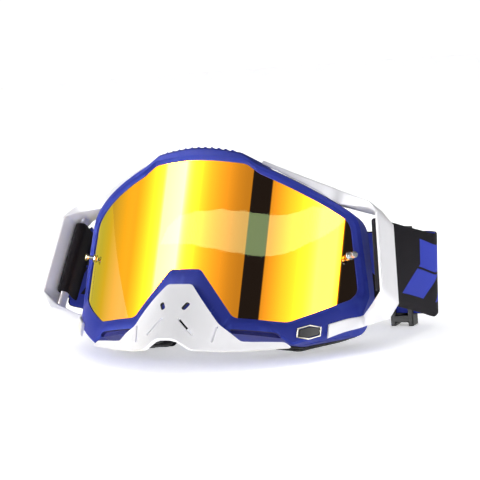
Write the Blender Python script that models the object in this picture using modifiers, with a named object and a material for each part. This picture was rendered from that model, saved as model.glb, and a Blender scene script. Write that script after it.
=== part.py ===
"""Off-road motorcycle goggles, resting on their face foam and on the two strap sliders.

Sizes are in millimetres and become metres when a mesh is made. The frame, lens, foam and side arms
are drawn in the goggle frame: x to the wearer's left, y from the lens towards the face, z up along
the axis of the lens cylinder. An empty leans that frame back to the angle at which the goggles rest.
"""

import math

import bmesh
import bpy
from mathutils import Matrix, Vector

MM = 0.001
COLLECTION = "motorcycle_goggles"
LEAN = math.radians(26.0)  # the lens cylinder's axis leans back by this much at rest

# The lens is a piece of one upright cylinder.
LENS_RADIUS = 97.0
LENS_THICKNESS = 1.2
LENS_LAP = 2.2  # how far the lens reaches into the frame's groove
GROOVE_CLEARANCE = 0.3
TOUCH = 0.35  # gap between pieces that touch

# Corners of the lens opening on the wearer's left, from the crown down to the nose: distance along
# the lens from its middle line, height, and corner radius.
OPENING = {
    "crown": (0.0, 64.3, 180.0),
    "crown_corner": (28.0, 62.6, 9.0),
    "shoulder": (36.3, 57.3, 12.0),
    "temple": (91.7, 38.7, 10.0),
    "cheek_upper": (101.5, 0.5, 6.0),
    "cheek_lower": (97.0, -5.0, 5.0),
    "jaw": (60.2, -25.6, 12.0),
    "jaw_inner": (51.0, -26.2, 30.0),
    "nose_foot": (30.2, -26.7, 6.0),
    "nose_top": (9.1, 0.0, 3.5),
}
# Frame edge on the lens side: how far each corner lies outside the opening's, and its radius.
FRAME_BAND = {
    "crown": (0.0, 7.4, 90.0),
    "crown_corner": (-2.5, 5.9, 7.0),
    "shoulder": (-1.6, 5.5, 14.0),
    "temple": (4.9, 3.6, 14.0),
    "cheek_upper": (8.0, -1.5, 6.0),
    "cheek_lower": (7.0, -12.8, 6.0),
    "jaw": (3.6, -12.4, 3.0),
    "jaw_inner": (6.4, -8.8, 2.0),
    "nose_foot": (-6.0, -8.9, 3.0),
    "nose_top": (-4.0, -14.0, 3.0),
}
# Flange edge against the face: how far each corner lies outside the frame edge's, and its radius.
FLANGE_FLARE = {
    "crown": (0.0, 1.2, 100.0),
    "crown_corner": (4.0, 1.5, 14.0),
    "shoulder": (4.0, 1.5, 30.0),
    "temple": (2.0, 0.8, 16.0),
    "cheek_upper": (3.0, -1.0, 10.0),
    "cheek_lower": (1.0, -3.0, 12.0),
    "jaw": (0.5, 4.2, 14.0),
    "jaw_inner": (0.0, 1.0, 30.0),
    "nose_foot": (1.0, 1.1, 6.0),
    "nose_top": (0.0, 0.5, 4.0),
}
ARC_STEPS = 3  # facets at each rounded corner
EDGE_STEP = 8.0  # longest straight run before an edge is split to follow the curve

# Frame section.
LIP_INNER_PROUD = 1.2
LIP_OUTER_PROUD = 3.0
LIP_CHAMFER = 1.2
BACK_LIP = 2.0
FRAME_WALL = 1.8
FLANGE_THICKNESS = 2.0
FRAME_DEPTH = 20.0  # lens to flange, on the middle line
FACE_RADIUS = 110.0  # curve of the flange around the face

# Vents: where each slot starts and stops along the lens.
CROWN_VENTS = ((-50.0, -38.0), (-22.0, -8.0), (8.0, 22.0), (38.0, 50.0))
JAW_VENTS = ((70.0, 80.0), (84.0, 94.0))
VENT_DEPTH = 7.0  # greatest reach of a slot from front to back
VENT_FRONT_MARGIN, VENT_BACK_MARGIN = 5.5, 2.5  # wall left before and behind the slots
VENT_CUT = 6.0  # half the height of a slot's cutter, which passes right through the wall
FILTER_THICKNESS = 2.0
FILTER_GAP = 0.7
FILTER_OVERLAP = 3.0  # past the vents at each end
FILTER_SPLIT_HEIGHT = -6.0  # crown strips lie above this height, jaw strips below it

# Foam: three bonded layers.
FOAM_LAYERS = (("foam_base", 6.0), ("foam_middle", 7.0), ("face_fleece", 3.0))
FOAM_INSET = 0.4  # the foam's inner edge, outside the lens opening

# Tear-off posts, one on each side of the lens.
POST_ALONG = 93.4
POST_HEIGHT = 19.5
POST_SHANK_RADIUS = 1.1
POST_HEAD_RADIUS = 1.9
POST_COLLAR_RADIUS = 2.4
POST_PROUD = 6.0
POST_HEAD_THICKNESS, POST_HEAD_CHAMFER = 1.3, 0.3
POST_COLLAR_TOP = 1.1
POST_REACH = 2.6  # behind the lens
WASHER_RADIUS = 2.6
WASHER_THICKNESS = 0.8

# Nose guard: its edge as points on the frame's face (along, height), from the top to the arch.
GUARD_EDGE = (
    (0.0, -9.9),
    (6.9, -9.9),
    (24.0, -32.2),
    (36.0, -40.3),
    (59.3, -37.2),
    (63.6, -39.6),
    (36.0, -45.6),
    (13.7, -48.7),
    (5.0, -43.7),
)
GUARD_THICKNESS = 2.2
GUARD_RIDGE_HALF_WIDTH = 5.0
GUARD_RIDGE_FALL = 21.0  # sideways distance over which the ridge falls back to the frame
GUARD_NOSE_PUSH = 11.1  # how far the ridge stands forward at the arch
GUARD_TAPER_START, GUARD_TAPER_END = 31.0, 42.0  # past these the guard drops to its wings' level
GUARD_WING_PROUD = 3.0
# Slots through the guard: place (along, height), width, length and lean in degrees.
GUARD_SLOTS = ((6.6, -23.6, 2.6, 5.0, -30.0), (8.8, -36.0, 1.3, 13.0, 45.0), (22.5, -38.0, 1.3, 10.0, -8.0))
PEG_RADIUS = 1.0
PEG_LENGTH = 5.5
PEG_CLEARANCE = 0.1
SOCKET_LEAD, SOCKET_SPARE = 2.0, 1.5  # how far a socket's cutter passes the peg's root and tip
PEG_PLACES = ((0.0, -11.9), (16.9, -25.6), (-16.9, -25.6))

# Side arms (outriggers). Post plate: a leaning upright plate beside the temple.
POST_OUTER_X = 102.6  # outer face at POST_MID_Z
POST_MID_Z = 20.0
POST_LEAN = 0.16  # inward per unit of height
PLATE_THICKNESS = 2.2
PLATE_STRAP_GAP = 0.5
PLATE_FRONT_Y, PLATE_REAR_Y = 29.5, 56.5
PLATE_TOP_Z, PLATE_BOTTOM_Z = 42.0, -4.0
BAR_WIDTH, BAR_THICKNESS = 7.0, 2.4
BAR_FRONT_Y = 43.5
BAR_TOP_Z, BAR_BOTTOM_Z = 47.6, -11.5
BROW_GAP = 0.8
BROW_STATIONS = (  # x, front edge, depth and height of the brow arm
    (35.0, 9.0, 11.0, 2.4),
    (46.0, 13.0, 10.5, 3.2),
    (56.0, 18.0, 10.0, 4.2),
    (66.0, 25.0, 10.0, 6.2),
    (74.0, 31.5, 10.0, 8.2),
)
# Corners above and below the plate: inset from its outer face at its end, y, and height past that end.
SHOULDER_CORNERS = ((6.6, 31.0, 6.4), (6.6, 54.0, 7.6), (8.1, 54.0, 4.4), (8.6, 33.0, 3.4))
HEEL_CORNERS = ((5.4, 33.0, -8.5), (3.9, 54.5, -9.5), (6.9, 54.5, -7.5), (8.4, 35.0, -6.0))
JAW_STATIONS = ((104.5, -12.6, -19.5), (93.0, -17.6, -25.0), (82.6, -22.9, -31.0))  # along, top, bottom
JAW_PLATE_THICKNESS = 1.6

# Strap.
STRAP_WIDTH = 49.0
STRAP_LOOP_WIDTH = 42.0  # gathered around the bar
STRAP_THICKNESS = 1.6
STRAP_MID_Z = 20.6
STRAP_SPREAD = 4.0  # the strap reaches its full width this far behind the plate
STRAP_TAIL_Y = 56.0
STRAP_BACK_Y = 118.0  # the back run, in the resting frame
STRAP_FOLD_RADIUS = 7.0
STRAP_FOLD_X = 108.0
STRAP_FOLD_FLARE, STRAP_FOLD_LEAD = 1.5, 4.0  # sideways lean of the strap before its fold
STRAP_FLOOR_GAP = 7.0
BAND_HALF_LENGTH = 97.0

# Sliders.
SLIDER_X = 85.0
SLIDER_WIDTH = 14.0
SLIDER_WALL = 2.4
SLIDER_GAP = 0.4
SLIDER_RAIL = 3.2
SLIDER_BAR = 4.4
SLIDER_HEAD = 2.2
SLIDER_ARCH = 2.2

# Silicone grip beads.
BEAD_HALF_LENGTH = 32.0
BEAD_RADIUS = 1.1
BEAD_RISES = (9.0, 23.5, 38.0)

# Badge.
BADGE_ALONG, BADGE_HEIGHT = 71.8, -29.6
BADGE_HALF_LENGTH, BADGE_HALF_HEIGHT = 5.6, 3.1
BADGE_THICKNESS = 0.8
BADGE_RIM = 0.8
BADGE_RIM_PROUD = 0.2
BADGE_WAIST, BADGE_SLANT = 0.62, 1.6  # share of the height at the ends, and how far the ends slant

CUT_MARGIN = 1.0  # how far a cutter passes the face it opens

COLOURS = {
    "blue": ((0.045, 0.075, 0.50), 0.45, 0.0),
    "white": ((0.86, 0.86, 0.88), 0.35, 0.0),
    "black": ((0.012, 0.012, 0.014), 0.85, 0.0),
    "foam": ((0.02, 0.02, 0.022), 0.95, 0.0),
    "gold": ((1.0, 0.58, 0.06), 0.06, 1.0),
    "steel": ((0.7, 0.7, 0.7), 0.25, 1.0),
    "silicone": ((0.8, 0.8, 0.82), 0.5, 0.0),
}


# ---------------------------------------------------------------- frames of reference


def on_lens(along, height, proud=0.0, back=0.0):
    """Point on the lens cylinder, proud of its front face and pushed back towards the face."""
    turn = along / LENS_RADIUS
    radius = LENS_RADIUS + proud
    return Vector((radius * math.sin(turn), LENS_RADIUS - radius * math.cos(turn) + back, height))


def on_face(along, height, depth=0.0):
    """Point on the flange's curve straight behind a lens point; depth goes towards the face."""
    turn = math.asin(LENS_RADIUS * math.sin(along / LENS_RADIUS) / FACE_RADIUS)
    radius = FACE_RADIUS - depth
    centre_y = FRAME_DEPTH + FACE_RADIUS
    return Vector((radius * math.sin(turn), centre_y - radius * math.cos(turn), height))


def to_rest(point):
    """Goggle frame to resting frame, before the goggles are set down on the floor."""
    return Matrix.Rotation(-LEAN, 3, "X") @ Vector(point)


def plate_x(height, inset=0.0):
    """Outer face of the side arm's leaning plate at a height, moved inward by inset."""
    return POST_OUTER_X + POST_LEAN * (POST_MID_Z - height) - inset


# ---------------------------------------------------------------- outlines


def full_corners(half):
    """Mirror a left half, whose first corner is on the middle line, into a closed corner list."""
    left = list(half.values()) if isinstance(half, dict) else list(half)
    right = [(-along, height, radius) for along, height, radius in reversed(left[1:])]
    return left + right


def shifted(corners, offsets):
    """Corner table moved by an offset table, with the offset table's radii."""
    moved = {}
    for name, (along, height, _) in corners.items():
        d_along, d_height, radius = offsets[name]
        moved[name] = (along + d_along, height + d_height, radius)
    return moved


def grow(corners, distance):
    """Closed corner list with every edge moved outward by distance."""
    grown = []
    count = len(corners)
    for i, (along, height, radius) in enumerate(corners):
        before = Vector(corners[i - 1][:2])
        here = Vector((along, height))
        after = Vector(corners[(i + 1) % count][:2])
        into, out = (here - before).normalized(), (after - here).normalized()
        normal_in, normal_out = Vector((-into.y, into.x)), Vector((-out.y, out.x))
        moved = here + (normal_in + normal_out) * (distance / (1.0 + normal_in.dot(normal_out)))
        convex = into.x * out.y - into.y * out.x < 0.0
        grown.append((moved.x, moved.y, max(radius + (distance if convex else -distance), 0.6)))
    return grown


def edge_counts(corners):
    """How many pieces each edge of a closed corner list is split into."""
    counts = []
    for i, corner in enumerate(corners):
        after = corners[(i + 1) % len(corners)]
        length = (Vector(after[:2]) - Vector(corner[:2])).length
        counts.append(max(1, round(length / EDGE_STEP)))
    return counts


def corner_arc(before, here, after, radius):
    """Points of a rounded corner between two edges."""
    into, out = (here - before).normalized(), (after - here).normalized()
    turn = into.angle(out, 0.0)
    if turn < 1e-4:
        return [here.copy() for _ in range(ARC_STEPS + 1)]
    reach = min(radius * math.tan(turn / 2.0), 0.45 * (here - before).length, 0.45 * (after - here).length)
    start, end = here - into * reach, here + out * reach
    points = []
    for step in range(ARC_STEPS + 1):
        t = step / ARC_STEPS
        points.append(start.lerp(here, t).lerp(here.lerp(end, t), t))
    return points


def outline(corners, counts):
    """Closed list of 2-D points: rounded corners joined by split edges."""
    places = [Vector(corner[:2]) for corner in corners]
    total = len(places)
    arcs = [
        corner_arc(places[i - 1], places[i], places[(i + 1) % total], corners[i][2])
        for i in range(total)
    ]
    points = []
    for i, arc in enumerate(arcs):
        points.extend(arc)
        following = arcs[(i + 1) % total][0]
        for step in range(1, counts[i]):
            points.append(arc[-1].lerp(following, step / counts[i]))
    return points


# The outlines that the frame, lens, filters and foam share.
OPENING_CORNERS = full_corners(OPENING)
COUNTS = edge_counts(OPENING_CORNERS)
FRAME_CORNERS = full_corners(shifted(OPENING, FRAME_BAND))
FLANGE_CORNERS = full_corners(shifted(shifted(OPENING, FRAME_BAND), FLANGE_FLARE))


# ---------------------------------------------------------------- making objects


def clear_scene():
    """Remove the objects that a new file opens with."""
    for thing in list(bpy.data.objects):
        bpy.data.objects.remove(thing, do_unlink=True)


def make_collection(name):
    """New collection linked to the scene."""
    made = bpy.data.collections.new(name)
    bpy.context.scene.collection.children.link(made)
    return made


def make_material(name):
    """Principled material from the colour table."""
    colour, roughness, metallic = COLOURS[name]
    material = bpy.data.materials.new(name)
    material.use_nodes = True
    shader = material.node_tree.nodes["Principled BSDF"]
    shader.inputs["Base Color"].default_value = (*colour, 1.0)
    shader.inputs["Roughness"].default_value = roughness
    shader.inputs["Metallic"].default_value = metallic
    return material


def add_object(name, mesh_data, colour, parent, collection):
    """Object from a bmesh in millimetres, scaled to metres, coloured and parented."""
    bmesh.ops.scale(mesh_data, vec=(MM, MM, MM), verts=mesh_data.verts)
    bmesh.ops.recalc_face_normals(mesh_data, faces=mesh_data.faces)
    if mesh_data.calc_volume(signed=True) < 0.0:
        bmesh.ops.reverse_faces(mesh_data, faces=mesh_data.faces)
    mesh = bpy.data.meshes.new(name)
    mesh_data.to_mesh(mesh)
    mesh_data.free()
    made = bpy.data.objects.new(name, mesh)
    collection.objects.link(made)
    if colour:
        mesh.materials.append(bpy.data.materials.get(colour) or make_material(colour))
    made.parent = parent
    return made


def ring_loft(rings):
    """Closed solid ring: quads between successive closed loops, the last joined to the first."""
    made = bmesh.new()
    rows = [[made.verts.new(point) for point in ring] for ring in rings]
    for i, row in enumerate(rows):
        following = rows[(i + 1) % len(rows)]
        for j in range(len(row)):
            k = (j + 1) % len(row)
            made.faces.new((row[j], row[k], following[k], following[j]))
    return made


def section_loft(sections):
    """Solid bar: quads between successive sections of equal point count, capped at both ends."""
    made = bmesh.new()
    rows = [[made.verts.new(point) for point in section] for section in sections]
    size = len(rows[0])
    for row, following in zip(rows, rows[1:]):
        for j in range(size):
            k = (j + 1) % size
            made.faces.new((row[j], row[k], following[k], following[j]))
    made.faces.new(rows[0])
    made.faces.new(list(reversed(rows[-1])))
    return made


def box(low, high):
    """Axis-aligned box between two corners."""
    made = bmesh.new()
    size = Vector(high) - Vector(low)
    centre = (Vector(high) + Vector(low)) / 2.0
    place = Matrix.Translation(centre) @ Matrix.Diagonal((*size, 1.0))
    bmesh.ops.create_cube(made, size=1.0, matrix=place)
    return made


def cylinder(radius, start, end, segments=20):
    """Closed cylinder between two points."""
    made = bmesh.new()
    start, end = Vector(start), Vector(end)
    axis = end - start
    place = Matrix.Translation((start + end) / 2.0) @ axis.to_track_quat("Z", "Y").to_matrix().to_4x4()
    bmesh.ops.create_cone(
        made, cap_ends=True, segments=segments, radius1=radius, radius2=radius,
        depth=axis.length, matrix=place,
    )
    return made


def join_meshes(meshes):
    """One bmesh holding several."""
    whole = bmesh.new()
    for part in meshes:
        held = bpy.data.meshes.new("held")
        part.to_mesh(held)
        part.free()
        whole.from_mesh(held)
        bpy.data.meshes.remove(held)
    return whole


def curved_sheet(points, mapping, step=EDGE_STEP, across=None):
    """Face inside a flat outline, split at regular distances and bent by a mapping."""
    made = bmesh.new()
    made.faces.new([made.verts.new((point[0], 0.0, point[1])) for point in points])
    low, high = min(p[0] for p in points), max(p[0] for p in points)
    cuts = [(Vector((1, 0, 0)), low, high, step)]
    if across:
        heights = [p[1] for p in points]
        cuts.append((Vector((0, 0, 1)), min(heights), max(heights), across))
    for normal, start, stop, spacing in cuts:
        count = max(1, round((stop - start) / spacing))
        for i in range(1, count):
            place = normal * (start + (stop - start) * i / count)
            geometry = list(made.verts) + list(made.edges) + list(made.faces)
            bmesh.ops.bisect_plane(made, geom=geometry, plane_co=place, plane_no=normal, dist=1e-5)
    for vert in made.verts:
        vert.co = mapping(vert.co.x, vert.co.z)
    return made


def thicken(thing, thickness, offset):
    """Solidify by a thickness in millimetres; offset 1 is along the faces' normals."""
    modifier = thing.modifiers.new("thickness", "SOLIDIFY")
    modifier.thickness = thickness * MM
    modifier.offset = offset
    modifier.use_even_offset = True


def cut(thing, cutter_mesh, cutters, operation="DIFFERENCE"):
    """Boolean with a hidden cutter that shares the object's parent."""
    cutter = add_object(thing.name + "_cutter", cutter_mesh, None, thing.parent, cutters)
    cutter.hide_render = True
    cutter.display_type = "WIRE"
    modifier = thing.modifiers.new("cut", "BOOLEAN")
    modifier.operation = operation
    modifier.object = cutter
    modifier.solver = "EXACT"
    return cutter


# ---------------------------------------------------------------- frame and lens


def build_frame(parent, parts, cutters):
    """Moulded frame: front band, lens groove, outer wall and the flange that carries the foam."""
    opening = outline(OPENING_CORNERS, COUNTS)
    edge = outline(FRAME_CORNERS, COUNTS)
    brow = outline(grow(FRAME_CORNERS, -LIP_CHAMFER), COUNTS)
    wall = outline(grow(FRAME_CORNERS, -FRAME_WALL), COUNTS)
    flange = outline(FLANGE_CORNERS, COUNTS)
    groove = outline(grow(OPENING_CORNERS, LENS_LAP + GROOVE_CLEARANCE), COUNTS)
    wall_back = outline(grow(FLANGE_CORNERS, -FRAME_WALL), COUNTS)
    port = outline(grow(OPENING_CORNERS, FOAM_INSET), COUNTS)
    groove_back = -LENS_THICKNESS - GROOVE_CLEARANCE
    inner_front = groove_back - BACK_LIP
    rings = [
        [on_lens(*p, LIP_INNER_PROUD) for p in opening],
        [on_lens(*p, LIP_OUTER_PROUD) for p in brow],
        [on_lens(*p, LIP_OUTER_PROUD - LIP_CHAMFER) for p in edge],
        [on_face(*p, 0.0) for p in flange],
        [on_face(*p, FLANGE_THICKNESS) for p in flange],
        [on_face(*p, FLANGE_THICKNESS) for p in port],
        [on_face(*p, 0.0) for p in port],
        [on_face(*p, 0.0) for p in wall_back],
        [on_lens(*p, inner_front) for p in wall],
        [on_lens(*p, inner_front) for p in opening],
        [on_lens(*p, groove_back) for p in opening],
        [on_lens(*p, groove_back) for p in groove],
        [on_lens(*p, GROOVE_CLEARANCE) for p in groove],
        [on_lens(*p, GROOVE_CLEARANCE) for p in opening],
    ]
    frame = add_object("frame", ring_loft(rings), "blue", parent, parts)
    slots = [vent_cutter(start, stop, True) for start, stop in CROWN_VENTS]
    for side in (1.0, -1.0):
        slots += [vent_cutter(side * start, side * stop, False) for start, stop in JAW_VENTS]
    socket_end, socket_radius = PEG_LENGTH + SOCKET_SPARE, PEG_RADIUS + PEG_CLEARANCE
    sockets = [peg(place, -SOCKET_LEAD, socket_end, socket_radius) for place in PEG_PLACES]
    cut(frame, join_meshes(slots + sockets), cutters)
    return frame


def edge_height(points, along, upper):
    """Height at which a closed outline crosses a line, taking its highest or lowest crossing."""
    crossings = []
    for i, (first, second) in enumerate(zip(points, points[1:] + points[:1])):
        low, high = sorted((first[0], second[0]))
        if low <= along <= high and high > low:
            t = (along - first[0]) / (second[0] - first[0])
            crossings.append(first[1] + t * (second[1] - first[1]))
    return max(crossings) if upper else min(crossings)


def vent_cutter(start, stop, upper):
    """Bent box that cuts one slot through the frame's crown or jaw wall."""
    edge = outline(FRAME_CORNERS, COUNTS)
    sections = []
    for along in (start, (start + stop) / 2.0, stop):
        height = edge_height(edge, along, upper)
        front, back = on_lens(along, height, -VENT_FRONT_MARGIN), on_face(along, height, -VENT_BACK_MARGIN)
        middle = (front + back) / 2.0
        half = min(VENT_DEPTH, (back - front).length) / 2.0
        reach = (back - front).normalized() * half
        rise = Vector((0.0, 0.0, VENT_CUT))
        sections.append((middle - reach - rise, middle + reach - rise,
                         middle + reach + rise, middle - reach + rise))
    return section_loft(sections)


def build_lens(parent, parts, cutters):
    """Cylindrical mirror lens held in the frame's groove, pierced for the two posts."""
    points = outline(grow(OPENING_CORNERS, LENS_LAP), COUNTS)
    lens = add_object("lens", curved_sheet(points, on_lens), "gold", parent, parts)
    face_forward(lens)
    thicken(lens, LENS_THICKNESS, -1.0)
    holes = [
        cylinder(POST_SHANK_RADIUS + GROOVE_CLEARANCE, on_lens(side * POST_ALONG, POST_HEIGHT, CUT_MARGIN),
                 on_lens(side * POST_ALONG, POST_HEIGHT, -LENS_THICKNESS - CUT_MARGIN), 20)
        for side in (1.0, -1.0)
    ]
    cut(lens, join_meshes(holes), cutters)
    return lens


def face_forward(thing):
    """Turn a sheet's faces so that they look away from the wearer."""
    mesh = thing.data
    if sum(polygon.normal.y * polygon.area for polygon in mesh.polygons) > 0.0:
        mesh.flip_normals()


def turned(profile, segments=24):
    """Closed turned solid from a profile of (radius, rise) that starts and ends on the axis."""
    made = bmesh.new()
    chain = [made.verts.new((radius, 0.0, rise)) for radius, rise in profile]
    edges = [made.edges.new(pair) for pair in zip(chain, chain[1:])]
    bmesh.ops.spin(made, geom=chain + edges, axis=(0, 0, 1), cent=(0, 0, 0),
                   angle=math.tau, steps=segments, use_merge=True)
    bmesh.ops.remove_doubles(made, verts=made.verts, dist=1e-4)
    return made


def build_posts(parent, parts):
    """Tear-off posts through the lens, each with its washer behind."""
    lens_back = -LENS_THICKNESS
    head_back = POST_PROUD - POST_HEAD_THICKNESS
    post = (
        (0.0, POST_PROUD), (POST_HEAD_RADIUS, POST_PROUD), (POST_HEAD_RADIUS, head_back),
        (POST_SHANK_RADIUS, head_back - POST_HEAD_CHAMFER), (POST_SHANK_RADIUS, POST_COLLAR_TOP),
        (POST_COLLAR_RADIUS, POST_COLLAR_TOP), (POST_COLLAR_RADIUS, TOUCH),
        (POST_SHANK_RADIUS, TOUCH), (POST_SHANK_RADIUS, lens_back - POST_REACH),
        (0.0, lens_back - POST_REACH),
    )
    hole = POST_SHANK_RADIUS + TOUCH
    top, bottom = lens_back - TOUCH, lens_back - TOUCH - WASHER_THICKNESS
    washer = ((hole, top), (WASHER_RADIUS, top), (WASHER_RADIUS, bottom), (hole, bottom), (hole, top))
    for side, name in ((1.0, "left"), (-1.0, "right")):
        place = on_lens(side * POST_ALONG, POST_HEIGHT)
        outward = (on_lens(side * POST_ALONG, POST_HEIGHT, 1.0) - place).normalized()
        for label, profile, colour in (("lens_post_", post, "steel"), ("post_washer_", washer, "black")):
            thing = add_object(label + name, turned(profile), colour, parent, parts)
            thing.location = place * MM
            thing.rotation_euler = outward.to_track_quat("Z", "Y").to_euler()


def filter_sections(start, stop, upper):
    """Sections of a filter strip lying inside the frame's wall between two places."""
    near_in = -FRAME_WALL - FILTER_GAP
    far_in = near_in - FILTER_THICKNESS
    near, far = outline(grow(FRAME_CORNERS, near_in), COUNTS), outline(grow(FRAME_CORNERS, far_in), COUNTS)
    near_back = outline(grow(FLANGE_CORNERS, near_in), COUNTS)
    far_back = outline(grow(FLANGE_CORNERS, far_in), COUNTS)
    front = -LENS_THICKNESS - GROOVE_CLEARANCE - BACK_LIP - TOUCH
    middle = len(near) // 2
    order = list(range(middle, len(near))) + list(range(middle)) if upper else range(len(near))
    return [
        (on_lens(*near[i], front), on_face(*near_back[i], -TOUCH),
         on_face(*far_back[i], -TOUCH), on_lens(*far[i], front))
        for i in order if start <= near[i][0] <= stop and (near[i][1] > FILTER_SPLIT_HEIGHT) == upper
    ]


def build_filters(parent, parts):
    """Open-cell filter strips behind the crown and jaw vents."""
    crown_reach = CROWN_VENTS[-1][1] + FILTER_OVERLAP
    jaw_start, jaw_stop = JAW_VENTS[0][0] - FILTER_OVERLAP, JAW_VENTS[-1][1] + FILTER_OVERLAP
    strips = (
        ("filter_crown", -crown_reach, crown_reach, True),
        ("filter_jaw_left", jaw_start, jaw_stop, False),
        ("filter_jaw_right", -jaw_stop, -jaw_start, False),
    )
    for name, start, stop, upper in strips:
        add_object(name, section_loft(filter_sections(start, stop, upper)), "foam", parent, parts)


def build_foam(parent, parts):
    """Three ring layers of face foam on the flange."""
    outer = outline(FLANGE_CORNERS, COUNTS)
    inner = outline(grow(OPENING_CORNERS, FOAM_INSET), COUNTS)
    depth = FLANGE_THICKNESS + TOUCH
    for name, thickness in FOAM_LAYERS:
        back = depth + thickness
        rings = [
            [on_face(*p, depth) for p in outer],
            [on_face(*p, back) for p in outer],
            [on_face(*p, back) for p in inner],
            [on_face(*p, depth) for p in inner],
        ]
        add_object(name, ring_loft(rings), "foam", parent, parts)
        depth = back + TOUCH


# ---------------------------------------------------------------- nose guard


def guard_surface(along, height):
    """Front face of the nose guard."""
    side = abs(along)
    base = LIP_OUTER_PROUD + TOUCH + GUARD_THICKNESS
    taper = min(max((side - GUARD_TAPER_START) / (GUARD_TAPER_END - GUARD_TAPER_START), 0.0), 1.0)
    proud = base + (GUARD_WING_PROUD - base) * taper
    drop = max((GUARD_EDGE[0][1] - height) / (GUARD_EDGE[0][1] - GUARD_EDGE[-1][1]), 0.0)
    fall = max(1.0 - max(side - GUARD_RIDGE_HALF_WIDTH, 0.0) / GUARD_RIDGE_FALL, 0.0)
    return on_lens(along, height, proud, -GUARD_NOSE_PUSH * drop * fall)


def peg(place, start, stop, radius):
    """Peg or socket running back from the guard's inner face, between two distances behind it."""
    inner = guard_surface(*place) + Vector((0.0, GUARD_THICKNESS, 0.0))
    return cylinder(radius, inner + Vector((0.0, start, 0.0)), inner + Vector((0.0, stop, 0.0)), 16)


def build_nose_guard(parent, parts, cutters):
    """Clip-on nose guard with ridge, wings, slots and pegs."""
    left = list(GUARD_EDGE)
    right = [(-along, height) for along, height in reversed(left) if along > 0.0]
    sheet = curved_sheet(left + right, guard_surface, step=5.0, across=5.0)
    guard = add_object("nose_guard", sheet, "white", parent, parts)
    face_forward(guard)
    thicken(guard, GUARD_THICKNESS, -1.0)
    slots = []
    for side in (1.0, -1.0):
        for along, height, width, length, tilt in GUARD_SLOTS:
            reach = GUARD_NOSE_PUSH + CUT_MARGIN
            slot = box((-width / 2, -reach, -length / 2), (width / 2, reach, length / 2))
            lean = Matrix.Rotation(side * math.radians(-tilt), 4, "Y")
            place = guard_surface(side * along, height)
            bmesh.ops.transform(slot, matrix=Matrix.Translation(place) @ lean, verts=slot.verts)
            slots.append(slot)
    cut(guard, join_meshes(slots), cutters)
    pegs = [peg(place, -GUARD_THICKNESS / 2.0, PEG_LENGTH, PEG_RADIUS) for place in PEG_PLACES]
    cut(guard, join_meshes(pegs), cutters, "UNION")
    return guard


# ---------------------------------------------------------------- side arms


def plate_section(height):
    """Section of the leaning plate: outer front, outer rear, inner rear, inner front."""
    outer, inner = plate_x(height), plate_x(height, PLATE_THICKNESS)
    return [(outer, PLATE_FRONT_Y, height), (outer, PLATE_REAR_Y, height),
            (inner, PLATE_REAR_Y, height), (inner, PLATE_FRONT_Y, height)]


def wall_top(x, y):
    """Height of the frame's outer wall under the brow arm."""
    along = math.asin(x / LENS_RADIUS) * LENS_RADIUS
    front = edge_height(outline(FRAME_CORNERS, COUNTS), along, True)
    back = edge_height(outline(FLANGE_CORNERS, COUNTS), along, True)
    start, stop = on_lens(along, 0.0, LIP_OUTER_PROUD).y, on_face(along, 0.0).y
    return front + (back - front) * min(max((y - start) / (stop - start), 0.0), 1.0)


def brow_section(x, front, deep, tall):
    """Section of the brow arm, which lies on the frame's brow with a small gap."""
    low_front = wall_top(x, front) + BROW_GAP
    low_rear = wall_top(x, front + deep) + BROW_GAP
    return [(x, front, low_front + tall), (x, front + deep, low_rear + tall),
            (x, front + deep, low_rear), (x, front, low_front)]


def plate_corners(height, corners):
    """Section beyond one end of the plate, placed from that end's outer face."""
    return [(plate_x(height, inset), y, height + rise) for inset, y, rise in corners]


def outrigger_sections():
    """Sections from the brow, over the temple, down the plate and round to the jaw, left side."""
    jaw_outer = LIP_OUTER_PROUD + TOUCH + JAW_PLATE_THICKNESS
    jaw_inner = LIP_OUTER_PROUD + TOUCH

    def jaw_section(along, top, bottom):
        return [on_lens(along, top, jaw_outer), on_lens(along, bottom, jaw_outer),
                on_lens(along, bottom, jaw_inner), on_lens(along, top, jaw_inner)]

    plate = [plate_section(z) for z in (PLATE_TOP_Z, POST_MID_Z, PLATE_BOTTOM_Z)]
    return (
        [brow_section(*station) for station in BROW_STATIONS]
        + [plate_corners(PLATE_TOP_Z, SHOULDER_CORNERS)] + plate
        + [plate_corners(PLATE_BOTTOM_Z, HEEL_CORNERS)]
        + [jaw_section(*station) for station in JAW_STATIONS]
    )


def mirrored(sections):
    """Sections on the other side of the middle plane."""
    return [[(-x, y, z) for x, y, z in section] for section in sections]


def bar_sections():
    """The upright bar inside the plate that the strap loops around."""
    sections = []
    for height in (BAR_BOTTOM_Z, BAR_TOP_Z):
        outer = plate_x(height, PLATE_THICKNESS + PLATE_STRAP_GAP + STRAP_THICKNESS + TOUCH)
        inner = outer - BAR_THICKNESS
        rear = BAR_FRONT_Y + BAR_WIDTH
        sections.append([(outer, BAR_FRONT_Y, height), (outer, rear, height),
                         (inner, rear, height), (inner, BAR_FRONT_Y, height)])
    return sections


def build_outriggers(parent, parts, cutters):
    """White side arms from brow to jaw with the strap bar."""
    for name, flip in (("left", False), ("right", True)):
        arm, bar = outrigger_sections(), bar_sections()
        if flip:
            arm, bar = mirrored(arm), mirrored(bar)
        thing = add_object("outrigger_" + name, section_loft(arm), "white", parent, parts)
        bar_mesh = section_loft(bar)
        bmesh.ops.recalc_face_normals(bar_mesh, faces=bar_mesh.faces)
        cut(thing, bar_mesh, cutters, "UNION")


# ---------------------------------------------------------------- strap and sliders


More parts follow.
